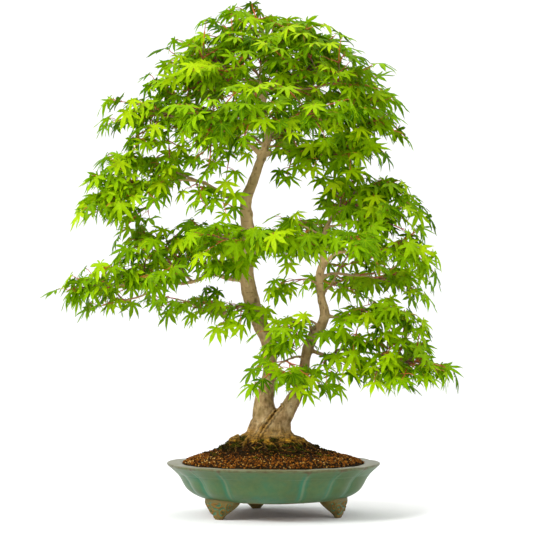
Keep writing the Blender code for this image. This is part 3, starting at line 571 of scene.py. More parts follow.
def soil_material():
    """Granular bonsai soil: baked red-brown clay grains, dark humus and cream pumice.

    Each grain is one tone, with a dusty, matt, pitted face.
    """
    made, tree, shader = new_material("akadama_and_pumice", Roughness=0.95, Specular_IOR_Level=0.1)
    place_in = add_node(tree, "ShaderNodeTexCoord", out="Object")
    tone = add_node(tree, "ShaderNodeAttribute", attribute_name="tone", out="Fac")
    colour = stops(add_node(tree, "ShaderNodeValToRGB", {"Fac": tone}),
                   (0.0, "#120b02"), (0.2, "#2c1c06"), (0.4, "#54300a"), (0.6, "#7a4410"),
                   (0.8, "#a0641c"), (0.86, "#ae8236"), (1.0, "#dcba74"))
    pits = add_node(tree, "ShaderNodeTexNoise", {"Vector": place_in, "Scale": spaced(1.111), "Detail": 3.0})
    dust = add_node(tree, "ShaderNodeMapRange",
                    {"Value": pits, "From Min": 0.35, "From Max": 0.7, "To Min": 0.55, "To Max": 1.25})
    dusty = add_node(tree, "ShaderNodeVectorMath", {0: colour, "Scale": dust}, operation="SCALE")
    bump = add_node(tree, "ShaderNodeBump", {"Height": pits, "Strength": 0.6, "Distance": 0.4 * MM})
    tree.links.new(dusty, shader.inputs["Base Color"])
    tree.links.new(bump, shader.inputs["Normal"])
    return made


def moss_material():
    """Cushion moss: short soft stems, dark at the foot and yellow-green at the tip, with each cushion painted
    darker towards its foot as shade.
    """
    made, tree, shader = new_material("cushion_moss", Roughness=0.95, Specular_IOR_Level=0.1)
    tone = add_node(tree, "ShaderNodeAttribute", attribute_name="tone", out="Fac")
    colour = stops(add_node(tree, "ShaderNodeValToRGB", {"Fac": tone}),
                   (0.0, "#1a1302"), (0.35, "#403c08"), (0.7, "#6c7410"), (1.0, "#a8ac24"))
    tree.links.new(colour, shader.inputs["Base Color"])
    return made


def bark_material():
    """Smooth maple bark: grey-tan in soft cloudy patches with fine pores, and paler up the trunk.

    The root flare has an ochre, crazed crust, stained with humus near the soil. Algae tinge the bark in
    patches, and
    painted shade darkens its hollows: forks, knots, cracks and the seam.
    """
    made, tree, shader = new_material("maple_bark", Roughness=0.85, Specular_IOR_Level=0.15)
    place_in = add_node(tree, "ShaderNodeTexCoord", out="Object")
    flare, hollow = (add_node(tree, "ShaderNodeAttribute", attribute_name=name, out="Fac")
                     for name in ("flare", "hollow"))
    height = add_node(tree, "ShaderNodeSeparateXYZ", {"Vector": place_in}, out="Z")
    lengthwise = add_node(tree, "ShaderNodeMapping", {"Vector": place_in, "Scale": (1.0, 1.0, 0.3)})
    crosswise = add_node(tree, "ShaderNodeMapping",
                         {"Vector": place_in, "Rotation": (0.3, 0.5, 0.0), "Scale": (0.25, 0.25, 1.3)})
    streaks = add_node(tree, "ShaderNodeTexNoise",
                       {"Vector": lengthwise, "Scale": spaced(3.03), "Detail": 6.0, "Roughness": 0.6})
    wrinkles = add_node(tree, "ShaderNodeTexNoise",
                        {"Vector": crosswise, "Scale": spaced(2.63), "Detail": 4.0, "Distortion": 0.4})
    clouds = add_node(tree, "ShaderNodeTexNoise", {"Vector": place_in, "Scale": spaced(11.8), "Detail": 4.0})
    algae = add_node(tree, "ShaderNodeTexNoise", {"Vector": place_in, "Scale": spaced(29.4), "Detail": 5.0})
    stain = add_node(tree, "ShaderNodeTexNoise", {"Vector": place_in, "Scale": spaced(16.1), "Detail": 4.0})
    pores = add_node(tree, "ShaderNodeTexVoronoi", {"Vector": place_in, "Scale": spaced(3.33)})
    creased = add_node(tree, "ShaderNodeMix", {"Factor": 0.5, "A": streaks, "B": wrinkles})
    cloudy = add_node(tree, "ShaderNodeMix", {"Factor": 0.35, "A": clouds, "B": streaks})
    grey = stops(add_node(tree, "ShaderNodeValToRGB", {"Fac": cloudy}),
                 (0.34, "#604c2c"), (0.45, "#846a44"), (0.55, "#9e855c"), (0.68, "#bca67c"))
    crust = stops(add_node(tree, "ShaderNodeValToRGB", {"Fac": creased}),
                  (0.34, "#241602"), (0.45, "#6a4708"), (0.56, "#a07416"), (0.74, "#cc9e38"))
    young, damp, near_soil, stained, pored = (
        add_node(tree, "ShaderNodeMapRange",
                 {"Value": value, "From Min": low, "From Max": high, "To Min": at_low, "To Max": at_high})
        for value, low, high, at_low, at_high in (
            (height, 0.17, 0.4, 0.0, 0.62), (algae, 0.5, 0.7, 0.0, 0.5), (height, 0.098, 0.118, 1.0, 0.0),
            (stain, 0.4, 0.56, 0.0, 0.85), (pores, 0.05, 0.22, 0.45, 0.0)))
    humus = add_node(tree, "ShaderNodeMath", {0: near_soil, 1: stained}, operation="MULTIPLY")
    colour = grey
    # The last mix is painted shade in the bark's hollows.
    for share, over in ((young, linear("#d2b27e")), (flare, crust), (damp, linear("#6e5f30")),
                        (humus, linear("#2c220a")), (pored, linear("#54401f")), (hollow, linear("#241a0a"))):
        colour = add_node(tree, "ShaderNodeMix", {"Factor": share, "A": colour, "B": over}, data_type="RGBA")
    bump = add_node(tree, "ShaderNodeBump", {"Height": creased, "Strength": 0.7, "Distance": 0.8 * MM})
    tree.links.new(colour, shader.inputs["Base Color"])
    tree.links.new(bump, shader.inputs["Normal"])
    return made


def twig_material():
    """Young maple twigs and leaf stalks: satin skin, brown on older shoots, rust to ochre on young ones."""
    made, tree, shader = new_material("young_maple_twig", Roughness=0.5)
    tone = add_node(tree, "ShaderNodeAttribute", attribute_name="tone", out="Fac")
    colour = stops(add_node(tree, "ShaderNodeValToRGB", {"Fac": tone}),
                   (0.0, "#745a34"), (0.35, "#9c4a18"), (0.7, "#c6581a"), (1.0, "#b48c2c"))
    tree.links.new(colour, shader.inputs["Base Color"])
    return made


def leaf_material():
    """Fresh maple leaf: a thin waxy sheet that lets yellow-green light through.

    It is paler below, with light veins.
    """
    made, tree, shader = new_material("fresh_maple_leaf", Roughness=0.5, IOR=1.42, Specular_IOR_Level=0.1)
    place_in = add_node(tree, "ShaderNodeTexCoord", out="Object")
    tone, vein, under = (add_node(tree, "ShaderNodeAttribute", attribute_name=name, out="Fac")
                         for name in ("tone", "vein", "under"))
    blade = stops(add_node(tree, "ShaderNodeValToRGB", {"Fac": tone}),
                  (0.0, "#467a00"), (0.3, "#78a800"), (0.6, "#a0cc00"), (1.0, "#c6e20c"))
    net = add_node(tree, "ShaderNodeTexNoise", {"Vector": place_in, "Scale": spaced(2.38), "Detail": 3.0})
    netted = add_node(tree, "ShaderNodeMapRange",
                      {"Value": net, "From Min": 0.3, "From Max": 0.7, "To Min": 0.86, "To Max": 1.1})
    colour = add_node(tree, "ShaderNodeVectorMath", {0: blade, "Scale": netted}, operation="SCALE")
    below = add_node(tree, "ShaderNodeMath", {0: under, 1: 0.35}, operation="MULTIPLY")
    veined = add_node(tree, "ShaderNodeMapRange",
                      {"Value": vein, "From Min": 0.0, "From Max": 0.22, "To Min": 0.5, "To Max": 0.0})
    for share, over in ((below, "#a8c41c"), (veined, "#bcd80a")):
        colour = add_node(tree, "ShaderNodeMix", {"Factor": share, "A": colour, "B": linear(over)},
                          data_type="RGBA")
    tree.links.new(colour, shader.inputs["Base Color"])
    glow = add_node(tree, "ShaderNodeBsdfTranslucent", {"Color": colour})
    both = add_node(tree, "ShaderNodeMixShader", {0: 0.55, 1: shader.outputs["BSDF"], 2: glow})
    tree.links.new(both, tree.nodes["Material Output"].inputs["Surface"])
    return made


def wire_material():
    """Brown-anodised aluminium bonsai wire: dull satin metal with rubbed spots."""
    made, tree, shader = new_material("anodised_aluminium_wire", Metallic=1.0)
    place_in = add_node(tree, "ShaderNodeTexCoord", out="Object")
    rub = add_node(tree, "ShaderNodeTexNoise", {"Vector": place_in, "Scale": spaced(2.0), "Detail": 3.0})
    colour = stops(add_node(tree, "ShaderNodeValToRGB", {"Fac": rub}),
                   (0.35, "#7a5a3a"), (0.6, "#977550"), (0.8, "#b59a7c"))
    rough = add_node(tree, "ShaderNodeMapRange", {"Value": rub, "To Min": 0.35, "To Max": 0.55})
    tree.links.new(colour, shader.inputs["Base Color"])
    tree.links.new(rough, shader.inputs["Roughness"])
    return made


def screen_material():
    """Moulded polyethylene mesh: black, slightly greyed by dust and scuffs."""
    made, tree, shader = new_material("moulded_polyethylene", IOR=1.5)
    place_in = add_node(tree, "ShaderNodeTexCoord", out="Object")
    scuff = add_node(tree, "ShaderNodeTexNoise", {"Vector": place_in, "Scale": spaced(3.33), "Detail": 4.0})
    colour = stops(add_node(tree, "ShaderNodeValToRGB", {"Fac": scuff}), (0.4, "#161616"), (0.7, "#34322e"))
    rough = add_node(tree, "ShaderNodeMapRange", {"Value": scuff, "To Min": 0.4, "To Max": 0.7})
    tree.links.new(colour, shader.inputs["Base Color"])
    tree.links.new(rough, shader.inputs["Roughness"])
    return made


# ---- pot ----


def crease_depth(angle):
    """How far the plan is pressed in: 1 at each crease, and least at the middle of a wide lobe."""
    turn = np.degrees(angle - FIRST_CREASE) % 90
    starts, widths, swells = (np.array(column) for column in zip(*QUARTER))
    lobe = np.searchsorted(starts, turn, side="right") - 1
    across = 2 * (turn - starts[lobe]) / widths[lobe] - 1
    return 1 - swells[lobe] * (1 - across ** 2)


def wall_angles(around):
    """Plan angles round the wall, drawn together at every crease."""
    angles = []
    for quarter in range(4):
        for start, width, _ in QUARTER:
            count = round(around * width / 360) + 8
            sine = np.sin(math.pi / 2 * np.linspace(-1, 1, count, endpoint=False))
            angles.append(FIRST_CREASE + np.radians(90 * quarter + start + width * (1 + sine) / 2))
    return np.concatenate(angles)


def from_crease(angles):
    """Signed angle in radians from the nearest crease to each angle."""
    turn = np.degrees(angles - FIRST_CREASE) % 90
    away = turn[:, None] - np.array([start for start, _, _ in QUARTER] + [90.0])
    return np.radians(away[np.arange(len(turn)), np.abs(away).argmin(1)])


def foot(skin, angle, relief):
    """One of the pot's feet, with curls in relief on its outer face."""
    rows = through(FOOT_PROFILE, 0.5)
    turns = TAU * np.arange(FOOT_SIDES) / FOOT_SIDES
    cosine, sine = np.cos(turns), np.sin(turns)
    points, raised = [], []
    for height, half_width, inner, outer in rows:
        wide = np.sign(cosine) * np.abs(cosine) ** FOOT_SQUARENESS * half_width
        deep = np.sign(sine) * np.abs(sine) ** FOOT_SQUARENESS * (outer - inner) / 2
        face = clamp(sine * 4) * min(1.0, height / 3) * clamp((FOOT_TOP - height) / 2)
        around = (1 - turns / (math.pi / 2)) * half_width * 1.3
        curl = np.zeros_like(wide)
        for across, level, reach, hand in SCROLLS:
            away = np.hypot(around - across, height - level)
            turn = np.arctan2(height - level, around - across)
            curl += np.clip(1.2 - away / reach, 0, 1) * np.cos(TAU * away / SCROLL_PITCH - hand * turn)
        radius = (outer + inner) / 2 + deep + relief * curl * face
        points.append(ring_points(angle + wide / outer, height, radius))
        raised.append(0.5 + 0.5 * np.clip(curl * 1.3, -1, 1) * face)
    points = np.vstack(points + [points[0].mean(0, keepdims=True), points[-1].mean(0, keepdims=True)])
    high = np.append(np.concatenate(raised), (0.5, 0.5))
    low = clamp(1 - points[:, 2] / 1.2)
    # Glaze pools in the hollows between the curls, drawn darker there as painted shade.
    skin.add(points, closed_faces(len(rows), FOOT_SIDES), clay=clamp((high - 0.4) / 0.2 + low),
             thin=0.5 + 0.5 * high, pool=clamp(1.2 - 3 * high))


class BONSAI_OT_pot(bpy.types.Operator):
    """Throw the lobed pot, with its flat lip, drain hole and three scrolled feet, and glaze it."""

    bl_idname = "bonsai.pot"
    bl_label = "Pot"

    def execute(self, context):
        settings = context.scene.bonsai_pot
        profiles = (OUTER_PROFILE, LIP_PROFILE, INNER_PROFILE)
        outer, lip, inner = (through(profile, PROFILE_STEP) for profile in profiles)
        rows = np.vstack((outer, lip[1:], inner[1:], FLOOR, DRAIN_HOLE, UNDERSIDE, outer[:1]))
        lip_start, lip_end = len(outer), len(outer) + len(lip)
        angles = wall_angles(settings.around)
        depth, arc = crease_depth(angles), from_crease(angles)
        sway = 0.35 * np.sin(3 * angles + 0.6) + 0.25 * np.sin(5 * angles)
        skin = Skin("rib", "pool", "thin", "clay", "lip")
        points, values = [], {name: [] for name in skin.values}
        for k, (radius, height, press) in enumerate(rows):
            outside = k < lip_start
            on_lip = lip_start <= k < lip_end - 1
            away = arc * radius
            faded = clamp((height - BEAD_FOOT) / 6) if outside else 0.0
            bead = bell(away, 1.9) * faded
            reach = radius - press * depth * (ramp(CREASE_GAIN, height) if outside else LIP_GAIN)
            reach = reach + settings.rib * bead * (1.0 if height < BEAD_TOP else 0.5)
            up = height + (0.6 * sway - 1.1 * depth if height > WAVY_FOOT else 0.0)
            points.append(ring_points(angles, up, reach))
            edge = bell(radius - RIM_RADIUS, 1.7) * (0.85 if height > LIP_EDGE else 0)
            under_lip = bell(height - LIP_BEND, 1.6) * 0.8 if outside else 0.0
            # Blue-green pooled glaze beside each crease, painted stronger on one side as shade, and a faint
            # darker band low on the wall.
            pool = faded * (0.9 * bell(away + 3.6, 3.2) + 0.5 * bell(away - 3.4, 2.6))
            pool = pool + (0.1 * bell(height - 30, 4) if outside else 0.0)
            bare = k >= lip_end + GLAZED_INSIDE or height < CLAY_TOP
            if on_lip:
                lip_share = min(1.0, (LIP_OUTSIDE - radius) / 2.4)
            else:
                lip_share = 0.3 if outside and height > LIP_FOOT else 0.0
            # A pale line on each rib's bead, partly thin glaze and partly a painted highlight.
            values["rib"].append(bead * (0.27 if height < GLAZE_TOP else 0.1))
            values["pool"].append(clamp(pool) * (1.0 if height < GLAZE_TOP else 0.3))
            values["thin"].append(max(edge, under_lip) + 0.8 * bell(away, 3.0) * faded * (height > WEAR_FOOT))
            values["clay"].append(np.full_like(reach, float(bare)))
            values["lip"].append(np.full_like(reach, lip_share))
        skin.add(np.vstack(points), wrapped_faces(len(rows), len(angles)),
                 **{name: np.concatenate(v) for name, v in values.items()})
        for angle in FOOT_ANGLES:
            foot(skin, angle, settings.relief)
        pot = skin.build("glazed_pot", [stoneware_glaze()])
        pot.data.set_sharp_from_angle(angle=math.radians(60))
        place(pot, "glazed_stoneware", "pot")
        return {"FINISHED"}


# ---- drainage ----


class BONSAI_OT_drainage(bpy.types.Operator):
    """Finish the hidden drainage pieces: plastic mesh, its staple, the tie-down wire and the coarse grit."""

    bl_idname = "bonsai.drainage"
    bl_label = "Drainage"

    def execute(self, context):
        finishes = {"drainage_screen": screen_material(), "screen_clip": wire_material(),
                    "drainage_grit": bpy.data.materials.get("akadama_and_pumice") or soil_material()}
        finishes["tie_wire"] = finishes["screen_clip"]
        for name, material in finishes.items():
            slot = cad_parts[name].material_slots[0]
            slot.link = "OBJECT"
            slot.material = material
        return {"FINISHED"}


# ---- soil and moss ----


def flare_dip(furrow, angles):
    """How far the furrows between the roots draw the root flare in at the plan angles."""
    return furrow * (0.5 - 0.5 * np.cos(FLARE_ROOTS * angles + FLARE_TURN))


def plan_points(angle, share):
    """Where the soil's surface is at plan angles and a share of the way from root flare to pot wall."""
    _, centre, half_x, half_y, furrow = FLARE_PROFILE[SOIL_LINE]
    dip = flare_dip(furrow, angle) - 1.5
    inner = ring_points(angle, 0.0, half_x - dip, half_y - dip, centre)
    outer = ring_points(angle, 0.0, SOIL_REACH - SOIL_CREASE * crease_depth(angle))
    points = inner * (1 - share) + outer * share
    points[..., 2] = ramp(MOUND, share)
    return points


def rough_height(points, pitch, height):
    """An even random height for each point, smooth over the pitch."""
    return np.array([height * noise.noise(Vector(p) / pitch) for p in points])


def grain_shape(rng):
    """An angular crumb of about unit radius: a twenty-sided solid with its corners pushed about."""
    t = (1 + 5 ** 0.5) / 2
    corners = np.array([(a, b, 0) for a in (-1, 1) for b in (-t, t)]
                       + [(0, a, b) for a in (-1, 1) for b in (-t, t)]
                       + [(b, 0, a) for a in (-1, 1) for b in (-t, t)], float) / math.hypot(1, t)
    faces = [(i, j, k) for i in range(12) for j in range(i + 1, 12) for k in range(j + 1, 12)
             if max(np.linalg.norm(corners[i] - corners[j]), np.linalg.norm(corners[j] - corners[k]),
                    np.linalg.norm(corners[i] - corners[k])) < 1.1]
    faces = [(i, j, k) if np.linalg.det(corners[[i, j, k]]) > 0 else (i, k, j) for i, j, k in faces]
    corners *= rng.uniform(0.72, 1.12, (12, 1))
    return corners * rng.uniform(0.7, 1.1, 3), np.array(faces)


class BONSAI_OT_soil(bpy.types.Operator):
    """Heap the soil from the root flare to the pot's wall and strew it with clay, humus and pumice grains."""

    bl_idname = "bonsai.soil"
    bl_label = "Soil"

    def execute(self, context):
        settings = context.scene.bonsai_soil
        rng = np.random.default_rng(SEED)
        around, shares = 192, np.linspace(0, 1, 44)
        angles = TAU * np.arange(around) / around
        rows = [plan_points(angles, s) for s in shares]
        for row, share in zip(rows, shares):
            row[:, 2] += rough_height(row, 5.0, 0.7) + (1 - share) * rough_height(row, *MOUND_LUMPS) - 1.2
        for radius, height in SOIL_WALL:
            rows.append(ring_points(angles, height, radius - 1.0 - 2.0 * crease_depth(angles)))
        inner = rows[0].copy()
        inner[:, 2] = SOIL_HEART
        rows.insert(0, inner)
        skin = Skin("tone")
        middles = [[(-10.0, 0.0, SOIL_HEART)], [(0.0, 0.0, SOIL_WALL[-1][1])]]
        skin.add(np.vstack(rows + middles), closed_faces(len(rows), around), tone=0.12)
        shapes = [grain_shape(rng) for _ in range(24)]
        for _ in range(settings.grains):
            angle = rng.uniform(0, TAU)
            share = 0.99 * rng.random() ** 0.72
            spot = plan_points(angle, share)
            spot[2] += (1 - share) * rough_height([spot], *MOUND_LUMPS)[0]
            size = settings.grain_size * (0.2 + 0.3 * rng.random() ** 1.6) * (0.75 + 0.25 * share)
            damp = clamp((0.66 - share) / 0.3)
            pick = rng.random()
            if pick < 0.13 * (1 - 0.8 * damp):  # cream pumice
                tone, size = rng.uniform(0.82, 0.99), size * 0.8
            elif pick < 0.36 + 0.5 * damp:  # dark humus
                tone = rng.uniform(0.05, 0.34)
            else:  # baked clay
                tone = rng.uniform(0.36, 0.8)
            shape, faces = shapes[rng.integers(len(shapes))]
            turn = np.array(Matrix.Rotation(rng.uniform(0, TAU), 3, Vector(rng.normal(size=3))))
            skin.add(shape @ turn.T * size + spot + (0, 0, size * 0.2 - 0.9), faces, tone=tone)
        soil = skin.build("soil_bed", [soil_material()], smooth=False)
        place(soil, "soil_grains", "soil")
        return {"FINISHED"}


class BONSAI_OT_moss(bpy.types.Operator):
    """Grow the moss round the root flare: uneven cushions that run together, set with short pointed stems."""

    bl_idname = "bonsai.moss"
    bl_label = "Moss"

    def execute(self, context):
        tufts = context.scene.bonsai_soil.tufts
        material = moss_material()
        for number, (name, (first, last)) in enumerate(MOSS_SECTORS.items()):
            rng = np.random.default_rng(SEED + number)
            skin = Skin("tone")
            start, end = (MOSS_START + TAU * k / SECTORS for k in (first, last))
            cushions = []
            for _ in range(int(CUSHIONS_PER_RADIAN * (end - start))):
                share = rng.uniform(-0.13, 0.26) if rng.random() < 0.6 else rng.uniform(0.2, 0.62)
                spot = plan_points(rng.uniform(start, end), share)
                spot[2] += max(0.0, -share) * 42 + (1 - share) * rough_height([spot], *MOUND_LUMPS)[0]
                glow = rng.uniform(0.7, 1.0) if rng.random() < 0.5 else rng.uniform(0.05, 0.35)
                cushions.append((spot, rng.uniform(1.8, 5.0) * (1.0 if share < 0.25 else 0.6), glow))
            for spot, size, glow in cushions:
                self.cushion(skin, spot, size, 0.06 + 0.26 * glow)
            for _ in range(tufts):
                spot, size, glow = cushions[rng.integers(len(cushions))]
                self.stem(skin, rng, spot, size * rng.uniform(0.8, 1.25), glow)
            place(skin.build("cushion_" + name, [material]), "moss", name)
        return {"FINISHED"}

    def cushion(self, skin, spot, size, tone):
        """A low lumpy dome with a flat closed foot."""
        rows, around = 7, 18
        turns = TAU * np.arange(around) / around
        points = []
        for slope in np.linspace(0, 1.45, rows):
            height = CUSHION_HEIGHT * size * math.sin(slope) - CUSHION_SINK
            points.append(ring_points(turns, height, size * math.cos(slope)))
        points = np.vstack(points + [[(0, 0, -CUSHION_SINK), (0, 0, 0.43 * size - CUSHION_SINK)]]) + spot
        points[:-2] += np.outer(rough_height(points[:-2], 1.4, 0.22 * size), (0.6, 0.6, 1.0))
        # Painted shade: each cushion is darker towards its foot.
        lit = np.clip((points[:, 2] - spot[2] + CUSHION_SINK) / (0.3 * size), 0.15, 1)
        skin.add(points, closed_faces(rows, around), tone=tone * lit)

    def stem(self, skin, rng, spot, size, glow):
        """One short stem that leans out from its cushion, drawn to a point."""
        turn, reach = rng.uniform(0, TAU), math.sqrt(rng.random()) * 0.95
        foot = spot + size * reach * np.array((math.cos(turn), math.sin(turn), 0.0))
        foot[2] += CUSHION_HEIGHT * size * math.sqrt(1 - reach * reach) - 0.8
        lean = unit(np.array((0.7 * reach * math.cos(turn), 0.7 * reach * math.sin(turn), 1.0))
                    + rng.normal(0, 0.3, 3))
        height = rng.uniform(0.9, 2.2)
        across = unit(np.cross(lean, rng.normal(size=3))) * rng.uniform(0.2, 0.36)
        middle = foot + lean * height * 0.55
        points = np.array((foot - across, foot + across, middle + across * 0.8, middle - across * 0.8,
                           foot + lean * height))
        glow = glow * rng.uniform(0.5, 1.1)
        skin.add(points, ((0, 1, 2), (0, 2, 3), (3, 2, 4)), tone=np.array((0.1, 0.1, 0.5, 0.5, 0.95)) * glow)


# ---- wood ----


def flare_points(around):
    """Rings of points up the root flare, each drawn in between the roots."""
    angles = TAU * np.arange(around) / around
    points = []
    for height, centre, half_x, half_y, furrow in through(FLARE_PROFILE, 1.5):
        dip = flare_dip(furrow, angles)
        dip = dip + 0.25 * furrow * np.sin(3 * FLARE_ROOTS * angles + height / 9)
        points.append(ring_points(angles, height, half_x - dip, half_y - dip, centre))
    return points


def surface_roots(rng, count, reach, radius):
    """Routes of the roots that leave the flare and dip into the soil, with their radii."""
    for k in range(count):
        angle = TAU * (k + rng.uniform(-0.4, 0.4)) / count
        far = reach * rng.uniform(0.4, 1.0)
        sway = rng.uniform(-0.12, 0.12, 7).cumsum()
        rows = []
        for t, turn in zip(np.linspace(0, 1, 7), sway):
            spot = plan_points(angle + turn, ROOT_START + (far - ROOT_START) * t)
            rows.append((*(spot + (0, 0, radius * (0.5 + (1 - t) ** 2 - 1.6 * t ** 3))),
                         radius * rng.uniform(0.7, 1.2) * (1 - 0.7 * t)))
        yield through(rows, 2.0)


def remeshed(skin, voxel):
    """The skin's overlapping solids as one smooth closed mesh, with points about a voxel apart."""
    rough = skin.build("rough_wood", [])
    rough.data.transform(Matrix.Translation(-Vector(AXIS)))
    fuse = rough.modifiers.new("fuse", "REMESH")
    fuse.mode, fuse.voxel_size = "VOXEL", voxel
    soften = rough.modifiers.new("soften", "SMOOTH")
    soften.factor, soften.iterations = 0.6, 6
    graph = bpy.context.evaluated_depsgraph_get()
    mesh = bpy.data.meshes.new_from_object(rough.evaluated_get(graph))
    bpy.data.objects.remove(rough)
    mesh.calc_loop_triangles()
    points = np.empty(len(mesh.vertices) * 3)
    mesh.vertices.foreach_get("co", points)
    normals = np.empty(len(mesh.vertices) * 3)
    mesh.vertex_normals.foreach_get("vector", normals)
    faces = np.empty(len(mesh.loop_triangles) * 3, np.int32)
    mesh.loop_triangles.foreach_get("vertices", faces)
    bpy.data.meshes.remove(mesh)
    return points.reshape(-1, 3) / MM, normals.reshape(-1, 3), faces.reshape(-1, 3)


class BONSAI_OT_wood(bpy.types.Operator):
    """Model the root flare, both trunks and every branch, with ridged bark, knots and surface roots."""

    bl_idname = "bonsai.wood"
    bl_label = "Wood"

    def execute(self, context):
        settings = context.scene.bonsai_wood
        rng = np.random.default_rng(SEED)
        bark = bark_material()
        rough = Skin()
        flare = flare_points(FLARE_SIDES)
        ends = [flare[0].mean(0, keepdims=True), flare[-1].mean(0, keepdims=True)]
        rough.add(np.vstack(flare + ends), closed_faces(len(flare), FLARE_SIDES))
        for trunk in (MAIN_TRUNK, SECOND_TRUNK):
            rough.add_tube(through(trunk, 3.0), 28)
        for base, *route in BRANCHES.values():
            rows = through(route, 3.0)[:12]
            swell = base * (1.0 + 0.9 * np.exp(-np.arange(len(rows)) / 3.0))
            if base > THICK_BRANCH:
                rough.add(*swept(rows, swell * np.linspace(1, 0.86, len(rows)), 14))
        for rows in surface_roots(rng, 15, 0.3, 3.6):
            rough.add_tube(rows, 10)
        rough.add_tube(through(CUT_STUB, 2.0), 12)
        points, normals, faces = remeshed(rough, settings.voxel)
        lift, hollow = self.bark_relief(points, settings.bark_depth)
        # The seam has healed over with the same crust as the root flare.
        scab = 0.8 * bell(self.seam_distance(points), 3.6) * (points[:, 1] < FRONT)
        base = clamp((126 - points[:, 2]) / 20)
        wood = Skin("flare", "hollow")
        wood.add(points + normals * lift[:, None], faces, flare=np.maximum(base, scab), hollow=hollow)
        old = wood.build("old_wood", [bark])
        place(old, "maple_bark", "trunks_and_branches")
        young = Skin("flare", "hollow")
        for base_radius, *route in BRANCHES.values():
            self.branch(young, base_radius, route, rng)
        for rows in surface_roots(rng, 46, 0.42, 1.3):
            # The fine roots get a little painted shade all over.
            young.add_tube(rows, 7, flare=0.9, hollow=0.15)
        place(young.build("branches_and_fine_roots", [bark]), "maple_bark", "trunks_and_branches")
        return {"FINISHED"}

    def seam_distance(self, points):
        """How far each point is from the line of the seam between the two trunks."""
        line = through(SEAM, 1.0)
        return np.min([np.hypot(points[:, 0] - x, points[:, 2] - z) for x, _, z in line], axis=0)

    def bark_relief(self, points, depth):
        """How far each point stands out along its normal, and how much painted shade it gets in its hollows.
        """
        lift = np.empty(len(points))
        hollow = np.zeros(len(points))
        crust = clamp((124 - points[:, 2]) / 18)
        for k, (x, y, z) in enumerate(points):
            streak = noise.noise(Vector((x / 2.4, y / 2.4, z / 9)))
            lump = noise.noise(Vector((x / 9, y / 9, z / 15)))
            bulge = noise.noise(Vector((x / 5, y / 5, z / 6)))
            wrinkle = noise.noise(Vector((x / 16, y / 16, z / 2.0)))
            lift[k] = depth * (0.3 * streak + 1.3 * lump + 0.8 * bulge + 0.5 * wrinkle)
            # Painted shade in the bark's hollows, and below in the crust's cracks.
            hollow[k] = min(0.5, 1.7 * max(0.0, -wrinkle - 0.6 * bulge - 0.48, -streak - bulge - 0.42))
            if crust[k]:
                flake = noise.noise(Vector((x / 3.6, y / 3.6, z / 3.0)))
                split = max(0.0, 1 - abs(noise.noise(Vector((x / 7, y / 7, z / 12)))) / 0.07)
                lift[k] += depth * crust[k] * (1.5 * flake + 1.2 * streak - 2.0 * split)
                hollow[k] = max(hollow[k], 0.75 * split * crust[k])
        beside = self.seam_distance(points) + 0.5 * np.sin(points[:, 2] * 1.1)
        front = points[:, 1] < FRONT
        lift += front * (1.5 * bell(beside - 2.7, 1.1) - 1.4 * bell(beside, 1.2))
        # Painted shade along the groove of the seam.
        hollow = np.maximum(hollow, front * (0.85 * bell(beside, 0.9) + 0.6 * bell(beside - 4.8, 0.8)))
        for centre, size, rise in KNOTS:
            away = np.linalg.norm((points - centre) * (1, 0.7, 0.8), axis=1) / size
            lift += rise * bell(away - 0.9, 0.35) - 0.8 * rise * bell(away, 0.5)
            # Painted shade in each knot's hollow.
            hollow = np.maximum(hollow, 0.85 * bell(away, 0.55))
        return lift, clamp(hollow)

    def branch(self, skin, base, route, rng):
        """A tapering branch with swollen joints where each year's growth began."""
        rows = through(route, 2.5)
        along = np.linspace(0, 1, len(rows))
        radii = base + (TIP_RADIUS - base) * along ** 0.8
        joints = np.arange(6, len(rows), 7)
        for joint in joints + rng.integers(-2, 3, len(joints)):
            radii = radii * (1 + 0.22 * bell(np.arange(len(rows)) - joint, 0.9))
        rows = rows + rng.normal(0, 0.18, rows.shape)
        skin.add(*swept(rows, radii, 9), flare=0.12)


# ---- leaves ----


